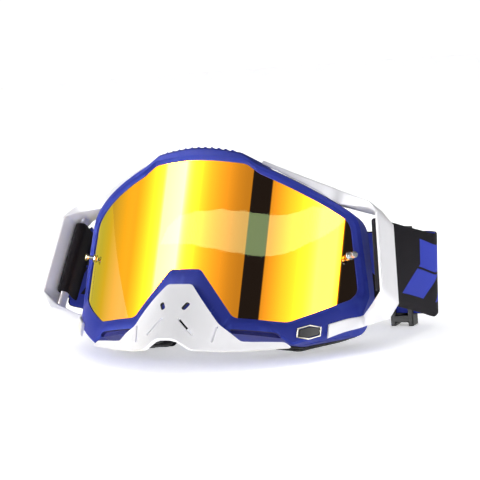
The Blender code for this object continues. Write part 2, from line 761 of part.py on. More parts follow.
def strap_stations(strap_bottom):
    """Top and bottom points of the strap's left half, resting frame, from the sewn tail to the
    middle of the back."""
    outer_inset = PLATE_THICKNESS + PLATE_STRAP_GAP + STRAP_THICKNESS / 2.0
    bar_half = (BAR_THICKNESS + STRAP_THICKNESS) / 2.0 + TOUCH
    inner_inset = outer_inset + 2.0 * bar_half
    loop = [(inner_inset, STRAP_TAIL_Y), (inner_inset, BAR_FRONT_Y + bar_half)]
    for step in range(1, 6):
        turn = math.pi * step / 6.0
        loop.append((outer_inset + bar_half * (1.0 + math.cos(turn)),
                     BAR_FRONT_Y + TOUCH - bar_half * math.sin(turn)))
    loop += [(outer_inset, BAR_FRONT_Y + bar_half), (outer_inset, PLATE_REAR_Y),
             (outer_inset, PLATE_REAR_Y + STRAP_SPREAD)]
    halves = [STRAP_LOOP_WIDTH / 2.0] * (len(loop) - 1) + [STRAP_WIDTH / 2.0]
    stations = [
        tuple(to_rest((plate_x(z, inset), y, z)) for z in (STRAP_MID_Z + half, STRAP_MID_Z - half))
        for (inset, y), half in zip(loop, halves)
    ]
    fold_y = STRAP_BACK_Y - STRAP_FOLD_RADIUS
    low, high = strap_bottom, strap_bottom + STRAP_WIDTH
    leave_top, leave_bottom = stations[-1]
    lead_y = fold_y - STRAP_FOLD_LEAD
    fold_top = Vector((STRAP_FOLD_X + STRAP_FOLD_FLARE, lead_y, high))
    fold_bottom = Vector((STRAP_FOLD_X - STRAP_FOLD_FLARE, lead_y, low))
    for t in (0.33, 0.67, 1.0):
        stations.append((leave_top.lerp(fold_top, t), leave_bottom.lerp(fold_bottom, t)))
    for step in range(1, 5):
        turn = math.pi / 2.0 * step / 4.0
        x = STRAP_FOLD_X - STRAP_FOLD_RADIUS * (1.0 - math.cos(turn))
        y = fold_y + STRAP_FOLD_RADIUS * math.sin(turn)
        ease = STRAP_FOLD_FLARE * (1.0 - step / 4.0)
        stations.append((Vector((x + ease, y, high)), Vector((x - ease, y, low))))
    return stations


def build_strap(parent, parts, strap_bottom):
    """Elastic strap looped around both bars, with a straight back run."""
    half = strap_stations(strap_bottom)
    flip = Vector((-1.0, 1.0, 1.0))
    other = [(top * flip, bottom * flip) for top, bottom in reversed(half)]
    made = bmesh.new()
    rows = [(made.verts.new(top), made.verts.new(bottom)) for top, bottom in half + other]
    for first, second in zip(rows, rows[1:]):
        made.faces.new((first[0], second[0], second[1], first[1]))
    strap = add_object("strap", made, "black", parent, parts)
    thicken(strap, STRAP_THICKNESS, 0.0)
    return strap


def build_back_band(parent, parts, strap_bottom):
    """Second strap layer inside the back run, with its silicone beads."""
    outer = STRAP_BACK_Y - STRAP_THICKNESS / 2.0 - TOUCH
    inner = outer - STRAP_THICKNESS
    strap_top = strap_bottom + STRAP_WIDTH
    band = box((-BAND_HALF_LENGTH, inner, strap_bottom), (BAND_HALF_LENGTH, outer, strap_top))
    add_object("strap_back_band", band, "black", parent, parts)
    for number, rise in enumerate(BEAD_RISES, start=1):
        height = strap_bottom + rise
        low = (-BEAD_HALF_LENGTH, inner - TOUCH - BEAD_RADIUS, height - BEAD_RADIUS)
        bead = box(low, (BEAD_HALF_LENGTH, inner - TOUCH, height + BEAD_RADIUS))
        add_object(f"grip_bead_{number}", bead, "silicone", parent, parts)


def build_sliders(parent, parts, cutters, floor, strap_bottom):
    """Strap adjusters: two rails inside, one bar outside, closed by a head and a footed base."""
    front = STRAP_BACK_Y - 1.5 * STRAP_THICKNESS - TOUCH - SLIDER_GAP
    rear = STRAP_BACK_Y + STRAP_THICKNESS / 2.0 + SLIDER_GAP
    low, high = strap_bottom - SLIDER_GAP, strap_bottom + STRAP_WIDTH + SLIDER_GAP
    half = SLIDER_WIDTH / 2.0
    for side, name in ((1.0, "left"), (-1.0, "right")):
        pivot = bpy.data.objects.new("slider_origin_" + name, None)
        parts.objects.link(pivot)
        pivot.parent = parent
        pivot.location = Vector((side * SLIDER_X, STRAP_BACK_Y, floor)) * MM
        drop = Vector((0.0, -STRAP_BACK_Y, -floor))
        body = box(Vector((-half, front - SLIDER_WALL, floor)) + drop,
                   Vector((half, rear + SLIDER_WALL, high + SLIDER_HEAD)) + drop)
        slider = add_object("slider_" + name, body, "black", pivot, parts)
        for start, stop in slider_holes(front, rear, low, high, floor):
            cut(slider, box(Vector(start) + drop, Vector(stop) + drop), cutters)


def slider_holes(front, rear, low, high, floor):
    """Corners of a slider's cuts: strap slot, inner window, both sides of the bar, foot arch."""
    half, rail, bar = SLIDER_WIDTH / 2.0, SLIDER_WIDTH / 2.0 - SLIDER_RAIL, SLIDER_BAR / 2.0
    before, behind = front - SLIDER_WALL - CUT_MARGIN, rear + SLIDER_WALL + CUT_MARGIN
    side = half + CUT_MARGIN
    return (
        ((-side, front, low), (side, rear, high)),
        ((-rail, before, low), (rail, front + CUT_MARGIN, high)),
        ((-side, rear - CUT_MARGIN, low), (-bar, behind, high)),
        ((bar, rear - CUT_MARGIN, low), (side, behind, high)),
        ((-rail, before, floor - CUT_MARGIN), (rail, behind, floor + SLIDER_ARCH)),
    )


# ---------------------------------------------------------------- badge


def hexagon(half_length, half_height):
    """Six corners around the badge's place, pointed up and down, with slanted ends."""
    waist = half_height * BADGE_WAIST
    outer, inner = BADGE_ALONG + half_length, BADGE_ALONG - half_length
    outer_z, inner_z = BADGE_HEIGHT + BADGE_SLANT, BADGE_HEIGHT - BADGE_SLANT
    return [
        (BADGE_ALONG, BADGE_HEIGHT + half_height), (outer, outer_z + waist), (outer, outer_z - waist),
        (BADGE_ALONG, BADGE_HEIGHT - half_height), (inner, inner_z - waist), (inner, inner_z + waist),
    ]


def build_badge(parent, parts):
    """Blank badge with a bright rim on the left jaw."""
    inner_proud = LIP_OUTER_PROUD + TOUCH

    def raised(along, height):
        return on_lens(along, height, inner_proud + BADGE_THICKNESS)

    plate = curved_sheet(hexagon(BADGE_HALF_LENGTH, BADGE_HALF_HEIGHT), raised, step=3.0)
    badge = add_object("badge_plate", plate, "black", parent, parts)
    face_forward(badge)
    thicken(badge, BADGE_THICKNESS, -1.0)
    inside = hexagon(BADGE_HALF_LENGTH + TOUCH, BADGE_HALF_HEIGHT + TOUCH)
    outside = hexagon(BADGE_HALF_LENGTH + TOUCH + BADGE_RIM, BADGE_HALF_HEIGHT + TOUCH + BADGE_RIM)
    proud = inner_proud + BADGE_THICKNESS + BADGE_RIM_PROUD
    rings = [
        [on_lens(*p, proud) for p in outside],
        [on_lens(*p, inner_proud) for p in outside],
        [on_lens(*p, inner_proud) for p in inside],
        [on_lens(*p, proud) for p in inside],
    ]
    add_object("badge_rim", ring_loft(rings), "steel", parent, parts)


# ---------------------------------------------------------------- assembly


def lowest_point(names):
    """Lowest height of some objects, in the resting frame, in millimetres."""
    bpy.context.view_layer.update()
    return min(
        (thing.matrix_world @ vert.co).z for thing in map(bpy.data.objects.get, names)
        for vert in thing.data.vertices
    ) / MM


def set_down(root, parts):
    """Centre the whole on the origin, with its lowest point at height zero."""
    bpy.context.view_layer.update()
    graph = bpy.context.evaluated_depsgraph_get()
    points = []
    for thing in parts.objects:
        if thing.type == "MESH":
            seen = thing.evaluated_get(graph)
            points += [seen.matrix_world @ vert.co for vert in seen.data.vertices]
    lows = [min(p[axis] for p in points) for axis in range(3)]
    highs = [max(p[axis] for p in points) for axis in range(3)]
    root.location = (-(lows[0] + highs[0]) / 2.0, -(lows[1] + highs[1]) / 2.0, -lows[2])
    bpy.context.view_layer.update()


def main():
    """Build every piece and set the goggles down."""
    clear_scene()
    parts, cutters = make_collection(COLLECTION), make_collection("cutters")
    root = bpy.data.objects.new("goggles_origin", None)
    leaning = bpy.data.objects.new("leaning_frame", None)
    for empty in (root, leaning):
        parts.objects.link(empty)
    leaning.parent = root
    leaning.rotation_euler = (-LEAN, 0.0, 0.0)

    build_frame(leaning, parts, cutters)
    build_lens(leaning, parts, cutters)
    build_posts(leaning, parts)
    build_filters(leaning, parts)
    build_foam(leaning, parts)
    build_nose_guard(leaning, parts, cutters)
    build_outriggers(leaning, parts, cutters)
    build_badge(leaning, parts)

    floor = lowest_point([name for name, _ in FOAM_LAYERS])
    strap_bottom = floor + STRAP_FLOOR_GAP
    build_strap(root, parts, strap_bottom)
    build_back_band(root, parts, strap_bottom)
    build_sliders(root, parts, cutters, floor, strap_bottom)
    set_down(root, parts)


if __name__ == "__main__":
    main()
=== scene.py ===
"""Finished look of a pair of off-road motorcycle goggles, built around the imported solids.

The goggles rest on their face foam and on two strap adjusters. The frame, lens, foam and side arms
are drawn in the goggle frame, in millimetres: x to the wearer's left, y from the lens towards the
face, z up along the axis of the lens cylinder. Rest turns that frame back to the angle at rest.
"""

import logging
import math
from collections.abc import Callable, Sequence
from dataclasses import dataclass, field
from enum import Enum

import bmesh
import bpy
from mathutils import Matrix, Vector, noise


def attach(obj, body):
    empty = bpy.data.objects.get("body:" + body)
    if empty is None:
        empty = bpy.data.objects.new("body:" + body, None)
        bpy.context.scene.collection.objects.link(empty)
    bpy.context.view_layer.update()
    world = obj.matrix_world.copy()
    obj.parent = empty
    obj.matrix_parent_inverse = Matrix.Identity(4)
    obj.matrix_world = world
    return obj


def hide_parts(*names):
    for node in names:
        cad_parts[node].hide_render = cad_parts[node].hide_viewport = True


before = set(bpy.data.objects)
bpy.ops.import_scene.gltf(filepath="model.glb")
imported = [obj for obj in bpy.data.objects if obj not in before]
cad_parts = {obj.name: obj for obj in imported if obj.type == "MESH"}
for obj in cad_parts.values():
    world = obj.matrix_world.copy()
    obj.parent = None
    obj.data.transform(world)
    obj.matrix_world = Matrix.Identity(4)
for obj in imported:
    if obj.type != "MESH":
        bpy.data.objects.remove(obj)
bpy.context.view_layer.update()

MM = 0.001
TOUCH = 0.35  # gap between pieces that touch, in millimetres
LOG = logging.getLogger("goggles")

# Pieces too near the mirror's edge to be seen in it: they would darken its grazing rim.
MIRROR_BLIND = {"frame", "strap", "outrigger_left", "outrigger_right"}

Corner = tuple[float, float, float]
Section = list[Vector]
Mapping = Callable[[float, float], Vector]


class Body(Enum):
    """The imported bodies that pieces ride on."""

    GOGGLES = "goggles"
    GUARD = "nose_guard"
    SLIDER_LEFT = "slider_left"
    SLIDER_RIGHT = "slider_right"


class Side(Enum):
    """The wearer's left and right, as the sign of x."""

    LEFT = 1.0
    RIGHT = -1.0


# ---------------------------------------------------------------- shader helpers


def linear(hex_colour: str, alpha: float = 1.0) -> tuple[float, float, float, float]:
    """Turn an sRGB hex colour linear.

    Args:
        hex_colour: six digits, without a hash.
        alpha: the fourth value.

    Returns:
        Linear red, green, blue and alpha.
    """
    shares = [int(hex_colour[i : i + 2], 16) / 255.0 for i in (0, 2, 4)]
    red, green, blue = (c / 12.92 if c <= 0.04045 else ((c + 0.055) / 1.055) ** 2.4 for c in shares)
    return red, green, blue, alpha


def per_mm(size: float) -> float:
    """Texture scale, in repeats per metre, of a grain of a size in millimetres."""
    return 1.0 / (size * MM)


def add_node(
    tree: bpy.types.NodeTree, kind: str, inputs: dict | None = None, **settings: object
) -> bpy.types.Node:
    """Add a node with its settings and inputs.

    Args:
        tree: the tree to add it to.
        kind: the node's type name.
        inputs: input name or number to a value, or to an output socket to link.
        settings: the node's own properties.

    Returns:
        The node.
    """
    node = tree.nodes.new(kind)
    for name, value in settings.items():
        setattr(node, name, value)
    for key, value in (inputs or {}).items():
        if isinstance(value, bpy.types.NodeSocket):
            tree.links.new(value, node.inputs[key])
        else:
            node.inputs[key].default_value = value
    return node


def within(
    tree: bpy.types.NodeTree, value: bpy.types.NodeSocket, low: float, high: float
) -> bpy.types.NodeSocket:
    """Mask that is one where a value lies between two limits.

    Args:
        tree: the material's nodes.
        value: the value.
        low: lower limit.
        high: upper limit.

    Returns:
        The mask.
    """
    over = add_node(tree, "ShaderNodeMath", {0: value, 1: low}, operation="GREATER_THAN")
    under = add_node(tree, "ShaderNodeMath", {0: value, 1: high}, operation="LESS_THAN")
    both = add_node(tree, "ShaderNodeMath", {0: over.outputs[0], 1: under.outputs[0]}, operation="MULTIPLY")
    return both.outputs[0]


# ---------------------------------------------------------------- finishes


@dataclass(frozen=True)
class Finish:
    """A surface: its colour, how rough and how metallic it is, and its grain."""

    name: str
    colour: str
    roughness: float
    metallic: float = 0.0
    ior: float = 1.5
    specular: float = 0.5

    def make(self) -> bpy.types.Material:
        """Make the material, or find the one that was made before.

        Returns:
            The material.
        """
        found = bpy.data.materials.get(self.name)
        if found:
            return found
        material = bpy.data.materials.new(self.name)
        material.use_nodes = True
        tree = material.node_tree
        shader = tree.nodes["Principled BSDF"]
        shader.inputs["Base Color"].default_value = linear(self.colour)
        shader.inputs["Roughness"].default_value = self.roughness
        shader.inputs["Metallic"].default_value = self.metallic
        shader.inputs["IOR"].default_value = self.ior
        shader.inputs["Specular IOR Level"].default_value = self.specular
        self.dress(tree, shader)
        return material

    def dress(self, tree: bpy.types.NodeTree, shader: bpy.types.Node) -> None:
        """Add the surface's detail to its nodes. The plain finish has none."""


@dataclass(frozen=True)
class MouldedPlastic(Finish):
    """Moulded polymer: a fine spark-eroded grain, slow changes of gloss, and rubbed edges."""

    grain_mm: float = 0.5
    grain_depth_mm: float = 0.02
    cloud_mm: float = 22.0
    gloss_change: tuple[float, float] = (-0.05, 0.06)
    worn_sharpness: tuple[float, float] = (0.53, 0.6)
    most_worn: float = 0.45
    rubbed: str = ""

    def dress(self, tree: bpy.types.NodeTree, shader: bpy.types.Node) -> None:
        """Add the moulding grain, the uneven gloss and the rubbed edges.

        Args:
            tree: the material's nodes.
            shader: its principled shader.
        """
        place = add_node(tree, "ShaderNodeTexCoord").outputs["Object"]
        grain = add_node(
            tree, "ShaderNodeTexNoise", {"Vector": place, "Scale": per_mm(self.grain_mm), "Detail": 3.0}
        )
        bump = add_node(
            tree, "ShaderNodeBump",
            {"Strength": 0.5, "Distance": self.grain_depth_mm * MM, "Height": grain.outputs["Fac"]},
        )
        tree.links.new(bump.outputs[0], shader.inputs["Normal"])
        cloud = add_node(
            tree, "ShaderNodeTexNoise", {"Vector": place, "Scale": per_mm(self.cloud_mm), "Detail": 4.0}
        )
        glossiest, dullest = (self.roughness + change for change in self.gloss_change)
        gloss = add_node(
            tree, "ShaderNodeMapRange",
            {"Value": cloud.outputs["Fac"], "From Min": 0.3, "From Max": 0.7,
             "To Min": glossiest, "To Max": dullest},
        )
        tree.links.new(gloss.outputs[0], shader.inputs["Roughness"])
        sharpness = add_node(tree, "ShaderNodeNewGeometry").outputs["Pointiness"]
        blunt, sharp = self.worn_sharpness
        edge = add_node(
            tree, "ShaderNodeMapRange",
            {"Value": sharpness, "From Min": blunt, "From Max": sharp, "To Max": self.most_worn},
        )
        worn = add_node(
            tree, "ShaderNodeMix",
            {0: edge.outputs[0], 6: linear(self.colour), 7: linear(self.rubbed or self.colour)},
            data_type="RGBA",
        )
        tree.links.new(worn.outputs[2], shader.inputs["Base Color"])


@dataclass(frozen=True)
class MirrorCoat(Finish):
    """Vacuum-coated polycarbonate: a gold mirror that turns from orange to yellow at a slant."""

    slant_colour: str = "DED64B"
    slant_range: tuple[float, float] = (0.29, 0.62)
    grazing_colour: str = "C9C350"
    inner_pane_tilt: float = 0.15  # the coat reflects as the slightly tilted inner pane does

    def dress(self, tree: bpy.types.NodeTree, shader: bpy.types.Node) -> None:
        """Tint the mirror by its slant, and put a clear hard coat over it.

        Args:
            tree: the material's nodes.
            shader: its principled shader.
        """
        slant = add_node(tree, "ShaderNodeLayerWeight", {"Blend": 0.35})
        start, stop = self.slant_range
        turned = add_node(
            tree, "ShaderNodeMapRange",
            {"Value": slant.outputs["Facing"], "From Min": start, "From Max": stop},
        )
        tint = add_node(
            tree, "ShaderNodeMix",
            {0: turned.outputs[0], 6: linear(self.colour), 7: linear(self.slant_colour)},
            data_type="RGBA",
        )
        tree.links.new(tint.outputs[2], shader.inputs["Base Color"])
        shader.inputs["Specular Tint"].default_value = linear(self.grazing_colour)
        place = add_node(tree, "ShaderNodeNewGeometry").outputs["Normal"]
        tilt = add_node(
            tree, "ShaderNodeVectorMath", {0: place, 1: (0.0, 0.0, self.inner_pane_tilt)}, operation="ADD"
        )
        pane = add_node(tree, "ShaderNodeVectorMath", {0: tilt.outputs[0]}, operation="NORMALIZE")
        tree.links.new(pane.outputs[0], shader.inputs["Coat Normal"])
        shader.inputs["Coat Weight"].default_value = 1.0
        shader.inputs["Coat Roughness"].default_value = 0.01


@dataclass(frozen=True)
class WovenStrap(Finish):
    """Jacquard elastic: black ground with slanted woven blocks outside, the reverse inside.

    The pieces carry an attribute "weave": metres along, metres up, and +1 outside or -1 inside.
    """

    block: str = "3F4CC0"
    rib_mm: float = 1.5  # real picks are about 0.5 mm; drawn coarser so that they show
    warp_mm: float = 1.1
    fuzz_mm: float = 0.8
    depth_mm: float = 0.18
    period_mm: float = 40.0
    slant: float = 1.15
    upright_from_mm: float = 28.0
    rows_mm: tuple[tuple[float, float], ...] = ((8.5, 25.0), (26.4, 42.5))
    first_mm: float = 30.0
    block_mm: float = 25.0
    plain_to_mm: float = 20.0
    reverse_from_mm: float = -12.0
    # painted shade in the weave's hollows and painted light on its raised ribs, as scales of the yarn's
    # colour
    shade_range: tuple[float, float] = (0.72, 1.12)

    def dress(self, tree: bpy.types.NodeTree, shader: bpy.types.Node) -> None:
        """Add the ribs, the fuzz and the woven blocks, with painted shade in the weave's hollows and painted
        light on its raised ribs.

        Args:
            tree: the material's nodes.
            shader: its principled shader.
        """
        weave = add_node(tree, "ShaderNodeAttribute", attribute_name="weave")
        parts = add_node(tree, "ShaderNodeSeparateXYZ", {0: weave.outputs["Vector"]})
        along, up, face = parts.outputs
        colour = self.pattern(tree, along, up, face)
        waves = []
        for place, spacing in ((along, self.rib_mm), (up, self.warp_mm)):
            turns = add_node(
                tree, "ShaderNodeMath", {0: place, 1: math.tau * per_mm(spacing)}, operation="MULTIPLY"
            )
            wave = add_node(tree, "ShaderNodeMath", {0: turns.outputs[0]}, operation="SINE")
            waves.append(wave.outputs[0])
        cross = add_node(tree, "ShaderNodeMath", {0: waves[0], 1: waves[1]}, operation="MULTIPLY")
        fuzz = add_node(
            tree, "ShaderNodeTexNoise",
            {"Vector": weave.outputs["Vector"], "Scale": per_mm(self.fuzz_mm), "Detail": 3.0},
        )
        height = add_node(
            tree, "ShaderNodeMath", {0: cross.outputs[0], 1: 0.6, 2: fuzz.outputs["Fac"]},
            operation="MULTIPLY_ADD",
        )
        bump = add_node(
            tree, "ShaderNodeBump",
            {"Strength": 0.7, "Distance": self.depth_mm * MM, "Height": height.outputs[0]},
        )
        tree.links.new(bump.outputs[0], shader.inputs["Normal"])
        # Painted shade: the yarn's colour darker in the weave's hollows, a little lighter on its raised ribs.
        deep, raised = self.shade_range
        shade = add_node(
            tree, "ShaderNodeMapRange",
            {"Value": height.outputs[0], "From Min": -0.1, "From Max": 1.1, "To Min": deep, "To Max": raised},
        )
        weave_shaded_yarn = add_node(
            tree, "ShaderNodeVectorMath", {0: colour, "Scale": shade.outputs[0]}, operation="SCALE"
        )
        tree.links.new(weave_shaded_yarn.outputs[0], shader.inputs["Base Color"])
        shader.inputs["Sheen Weight"].default_value = 0.06
        shader.inputs["Sheen Roughness"].default_value = 0.4

    def pattern(
        self, tree: bpy.types.NodeTree, along: bpy.types.NodeSocket, up: bpy.types.NodeSocket,
        face: bpy.types.NodeSocket,
    ) -> bpy.types.NodeSocket:
        """Colour of the yarn on top: ground or block, swapped on the inner face.

        Args:
            tree: the material's nodes.
            along: metres along the strap.
            up: metres up from its lower edge.
            face: above nought on its outer face.

        Returns:
            The colour.
        """
        lower = add_node(tree, "ShaderNodeMath", {0: up, 1: self.upright_from_mm * MM}, operation="MINIMUM")
        lean = add_node(
            tree, "ShaderNodeMath", {0: lower.outputs[0], 1: -self.slant, 2: along}, operation="MULTIPLY_ADD"
        )
        shift = add_node(tree, "ShaderNodeMath", {0: lean.outputs[0], 1: self.slant * 25.0 * MM})
        repeat = add_node(
            tree, "ShaderNodeMath",
            {0: shift.outputs[0], 1: self.first_mm * MM, 2: (self.first_mm + self.period_mm) * MM},
            operation="WRAP",
        )
        across = within(tree, repeat.outputs[0], self.first_mm * MM, (self.first_mm + self.block_mm) * MM)
        rows = [within(tree, up, low * MM, high * MM) for low, high in self.rows_mm]
        tall = add_node(tree, "ShaderNodeMath", {0: rows[0], 1: rows[1]}, operation="MAXIMUM")
        block = add_node(tree, "ShaderNodeMath", {0: across, 1: tall.outputs[0]}, operation="MULTIPLY")
        outer = add_node(tree, "ShaderNodeMath", {0: face, 1: 0.0}, operation="GREATER_THAN")
        begun = add_node(
            tree, "ShaderNodeMath", {0: shift.outputs[0], 1: self.plain_to_mm * MM}, operation="GREATER_THAN"
        )
        shown = add_node(
            tree, "ShaderNodeMath", {0: block.outputs[0], 1: begun.outputs[0]}, operation="MULTIPLY"
        )
        swapped = add_node(tree, "ShaderNodeMath", {0: 1.0, 1: block.outputs[0]}, operation="SUBTRACT")
        behind = add_node(
            tree, "ShaderNodeMath", {0: along, 1: self.reverse_from_mm * MM}, operation="GREATER_THAN"
        )
        inner = add_node(
            tree, "ShaderNodeMath", {0: swapped.outputs[0], 1: behind.outputs[0]}, operation="MULTIPLY"
        )
        mask = add_node(
            tree, "ShaderNodeMix", {0: outer.outputs[0], 2: inner.outputs[0], 3: shown.outputs[0]}
        )
        yarn = add_node(
            tree, "ShaderNodeMix",
            {0: mask.outputs[0], 6: linear(self.colour), 7: linear(self.block)}, data_type="RGBA",
        )
        return yarn.outputs[2]


@dataclass(frozen=True)
class CutFoam(Finish):
    """Open-cell polyurethane foam: small round cells in a matte black body."""

    cell_mm: float = 0.9
    depth_mm: float = 0.25

    def dress(self, tree: bpy.types.NodeTree, shader: bpy.types.Node) -> None:
        """Add the cells, with painted shade where they are deep and painted light on their rims.

        Args:
            tree: the material's nodes.
            shader: its principled shader.
        """
        place = add_node(tree, "ShaderNodeTexCoord").outputs["Object"]
        cells = add_node(tree, "ShaderNodeTexVoronoi", {"Vector": place, "Scale": per_mm(self.cell_mm)})
        bump = add_node(
            tree, "ShaderNodeBump",
            {"Strength": 0.8, "Distance": self.depth_mm * MM, "Height": cells.outputs["Distance"]},
        )
        tree.links.new(bump.outputs[0], shader.inputs["Normal"])
        # Painted shade in the cells' pits and painted light on their rims: the foam's colour scaled by the
        # cell depth.
        shade = add_node(
            tree, "ShaderNodeMapRange",
            {"Value": cells.outputs["Distance"], "From Max": 0.6, "To Min": 0.45, "To Max": 1.5},
        )
        body = add_node(
            tree, "ShaderNodeVectorMath", {0: linear(self.colour)[:3], "Scale": shade.outputs[0]},
            operation="SCALE",
        )
        tree.links.new(body.outputs[0], shader.inputs["Base Color"])
        shader.inputs["Sheen Weight"].default_value = 0.15


@dataclass(frozen=True)
class Fleece(Finish):
    """Brushed fleece: a soft, tangled pile that lightens at its rim."""

    pile_mm: float = 0.7

    def dress(self, tree: bpy.types.NodeTree, shader: bpy.types.Node) -> None:
        """Add the tangled pile and its sheen.

        Args:
            tree: the material's nodes.
            shader: its principled shader.
        """
        place = add_node(tree, "ShaderNodeTexCoord").outputs["Object"]
        pile = add_node(
            tree, "ShaderNodeTexNoise",
            {"Vector": place, "Scale": per_mm(self.pile_mm), "Detail": 6.0, "Distortion": 1.5},
        )
        bump = add_node(
            tree, "ShaderNodeBump", {"Strength": 0.9, "Distance": 0.3 * MM, "Height": pile.outputs["Fac"]}
        )
        tree.links.new(bump.outputs[0], shader.inputs["Normal"])
        shader.inputs["Sheen Weight"].default_value = 0.6
        shader.inputs["Sheen Roughness"].default_value = 0.5
        shader.inputs["Sheen Tint"].default_value = linear("8C8C96")


@dataclass(frozen=True)
class BrushedMetal(Finish):
    """Turned or plated metal: fine marks that spread the gloss a little."""

    mark_mm: float = 0.3

    def dress(self, tree: bpy.types.NodeTree, shader: bpy.types.Node) -> None:
        """Add the marks to the roughness.

        Args:
            tree: the material's nodes.
            shader: its principled shader.
        """
        place = add_node(tree, "ShaderNodeTexCoord").outputs["Object"]
        marks = add_node(tree, "ShaderNodeTexNoise", {"Vector": place, "Scale": per_mm(self.mark_mm)})
        gloss = add_node(
            tree, "ShaderNodeMapRange",
            {"Value": marks.outputs["Fac"], "To Min": self.roughness * 0.6, "To Max": self.roughness * 1.4},
        )
        tree.links.new(gloss.outputs[0], shader.inputs["Roughness"])


# Nylon-toughened polyurethane, moulded: matte blue whose edges rub paler.
FRAME_BLUE = MouldedPlastic("moulded_polyurethane_blue", "222E89", 0.5, specular=0.1, rubbed="3445A6")
# The same plastic, darker, lining the deep pocket that the mould leaves: painted shade in the recess.
POCKET_SHADE_NAVY = MouldedPlastic("moulded_polyurethane_pocket_shade", "14164E", 0.6, specular=0.1, grain_mm=0.8)
# Injection-moulded nylon: white, satin, with soft highlights.
ARM_WHITE = MouldedPlastic(
    "moulded_nylon_white", "F5F4F7", 0.34, specular=0.25, grain_mm=0.6, rubbed="FBFAFE"
)
# Moulded acetal of the adjusters, the washers and the badge: black, with a dull gloss.
ACETAL_BLACK = MouldedPlastic(
    "moulded_acetal_black", "0B0B0D", 0.3, specular=0.12, grain_mm=0.6, rubbed="1C1C20"
)
# Gold multilayer mirror on polycarbonate: hard, sharp reflections.
LENS_GOLD = MirrorCoat("mirror_coated_polycarbonate", "FF9F1A", 0.015, metallic=1.0)
# Uncoated smoke polycarbonate on the wearer's side: dark and glossy.
LENS_SMOKE = MouldedPlastic("smoke_polycarbonate", "1A120A", 0.06, ior=1.58, grain_depth_mm=0.0)
# Chromed brass of the posts: bright, with fine turning marks.
CHROME = BrushedMetal("chromed_brass", "A6A6AC", 0.16, metallic=1.0)
# Plated zinc of the badge's rim: greyer and softer than the posts.
ZINC = BrushedMetal("plated_zinc", "6E6C68", 0.34, metallic=1.0)
# Elastic webbing: matt black yarn with blue woven blocks, and a faint sheen.
STRAP_WEAVE = WovenStrap("woven_elastic", "1B191D", 0.9, specular=0.08)
# Nylon sewing thread, a little glossier than the strap.
THREAD_BLACK = BrushedMetal("nylon_thread", "26242A", 0.5, specular=0.2)
# Cut polyurethane foam: matt black, pitted with small cells.
FOAM_BLACK = CutFoam("open_cell_foam", "121214", 0.95, specular=0.05)
# Open filter foam behind the vents: coarser cells, a little greyer.
FILTER_FOAM = CutFoam("filter_foam", "181819", 0.95, specular=0.05, cell_mm=1.4)
# Brushed fleece against the face: deep black with a soft pale rim.
FLEECE_BLACK = Fleece("brushed_fleece", "101013", 0.95, specular=0.05)
# Clear-white silicone of the grip beads: smooth and a little glossy.
SILICONE = MouldedPlastic("cast_silicone", "DADAE2", 0.38, ior=1.41, specular=0.3, grain_mm=1.5)


# ---------------------------------------------------------------- shaping


@dataclass(frozen=True)
class Rest:
    """How the goggle frame stands in the row frame, and the curves it is drawn on."""

    lean: float = math.radians(-26.0)
    origin_y: float = -43.755
    origin_z: float = 53.759
    lens_radius: float = 97.0
    face_radius: float = 110.0
    frame_depth: float = 20.0

    def matrix(self, leaning: bool = True) -> Matrix:
        """Millimetres in the goggle frame, or in its upright twin, to metres in the row frame."""
        turn = Matrix.Rotation(self.lean, 4, "X") if leaning else Matrix.Identity(4)
        return Matrix.Scale(MM, 4) @ Matrix.Translation((0.0, self.origin_y, self.origin_z)) @ turn

    def on_lens(self, along: float, height: float, proud: float = 0.0, back: float = 0.0) -> Vector:
        """Point on the lens cylinder.

        Args:
            along: distance along the lens from its middle.
            height: height along its axis.
            proud: how far it stands in front of the lens.
            back: how far it is pushed back towards the face.

        Returns:
            The point, in the goggle frame.
        """
        turn = along / self.lens_radius
        radius = self.lens_radius + proud
        return Vector(
            (radius * math.sin(turn), self.lens_radius - radius * math.cos(turn) + back, height)
        )

    def on_face(self, along: float, height: float, depth: float = 0.0) -> Vector:
        """Point on the flange's curve, straight behind a point on the lens.

        Args:
            along: distance along the lens from its middle.
            height: height along its axis.
            depth: how far behind the flange's front it lies.

        Returns:
            The point, in the goggle frame.
        """
        turn = math.asin(self.lens_radius * math.sin(along / self.lens_radius) / self.face_radius)
        radius = self.face_radius - depth
        centre_y = self.frame_depth + self.face_radius
        return Vector((radius * math.sin(turn), centre_y - radius * math.cos(turn), height))


REST = Rest()


@dataclass(frozen=True)
class GuardFace:
    """Front face of the nose guard: a ridge that stands forward towards the arch."""

    proud: float = 5.55
    wing_proud: float = 3.0
    wing_start: float = 31.0
    wing_run: float = 11.0
    ridge_top: float = -9.9
    ridge_height: float = 33.8
    ridge_half: float = 5.0
    ridge_fall: float = 21.0
    ridge_reach: float = 11.1
    pegs: tuple[tuple[float, float], ...] = ((0.0, -11.9), (16.9, -25.6), (-16.9, -25.6))

    def at(self, along: float, height: float) -> Vector:
        """Place on the face.

        Args:
            along: distance along the lens.
            height: height in the goggle frame.

        Returns:
            The place.
        """
        side = abs(along)
        taper = min(max((side - self.wing_start) / self.wing_run, 0.0), 1.0)
        proud = self.proud + (self.wing_proud - self.proud) * taper
        drop = max((self.ridge_top - height) / self.ridge_height, 0.0)
        fall = max(1.0 - max(side - self.ridge_half, 0.0) / self.ridge_fall, 0.0)
        return REST.on_lens(along, height, proud, -self.ridge_reach * drop * fall)


GUARD_FACE = GuardFace()


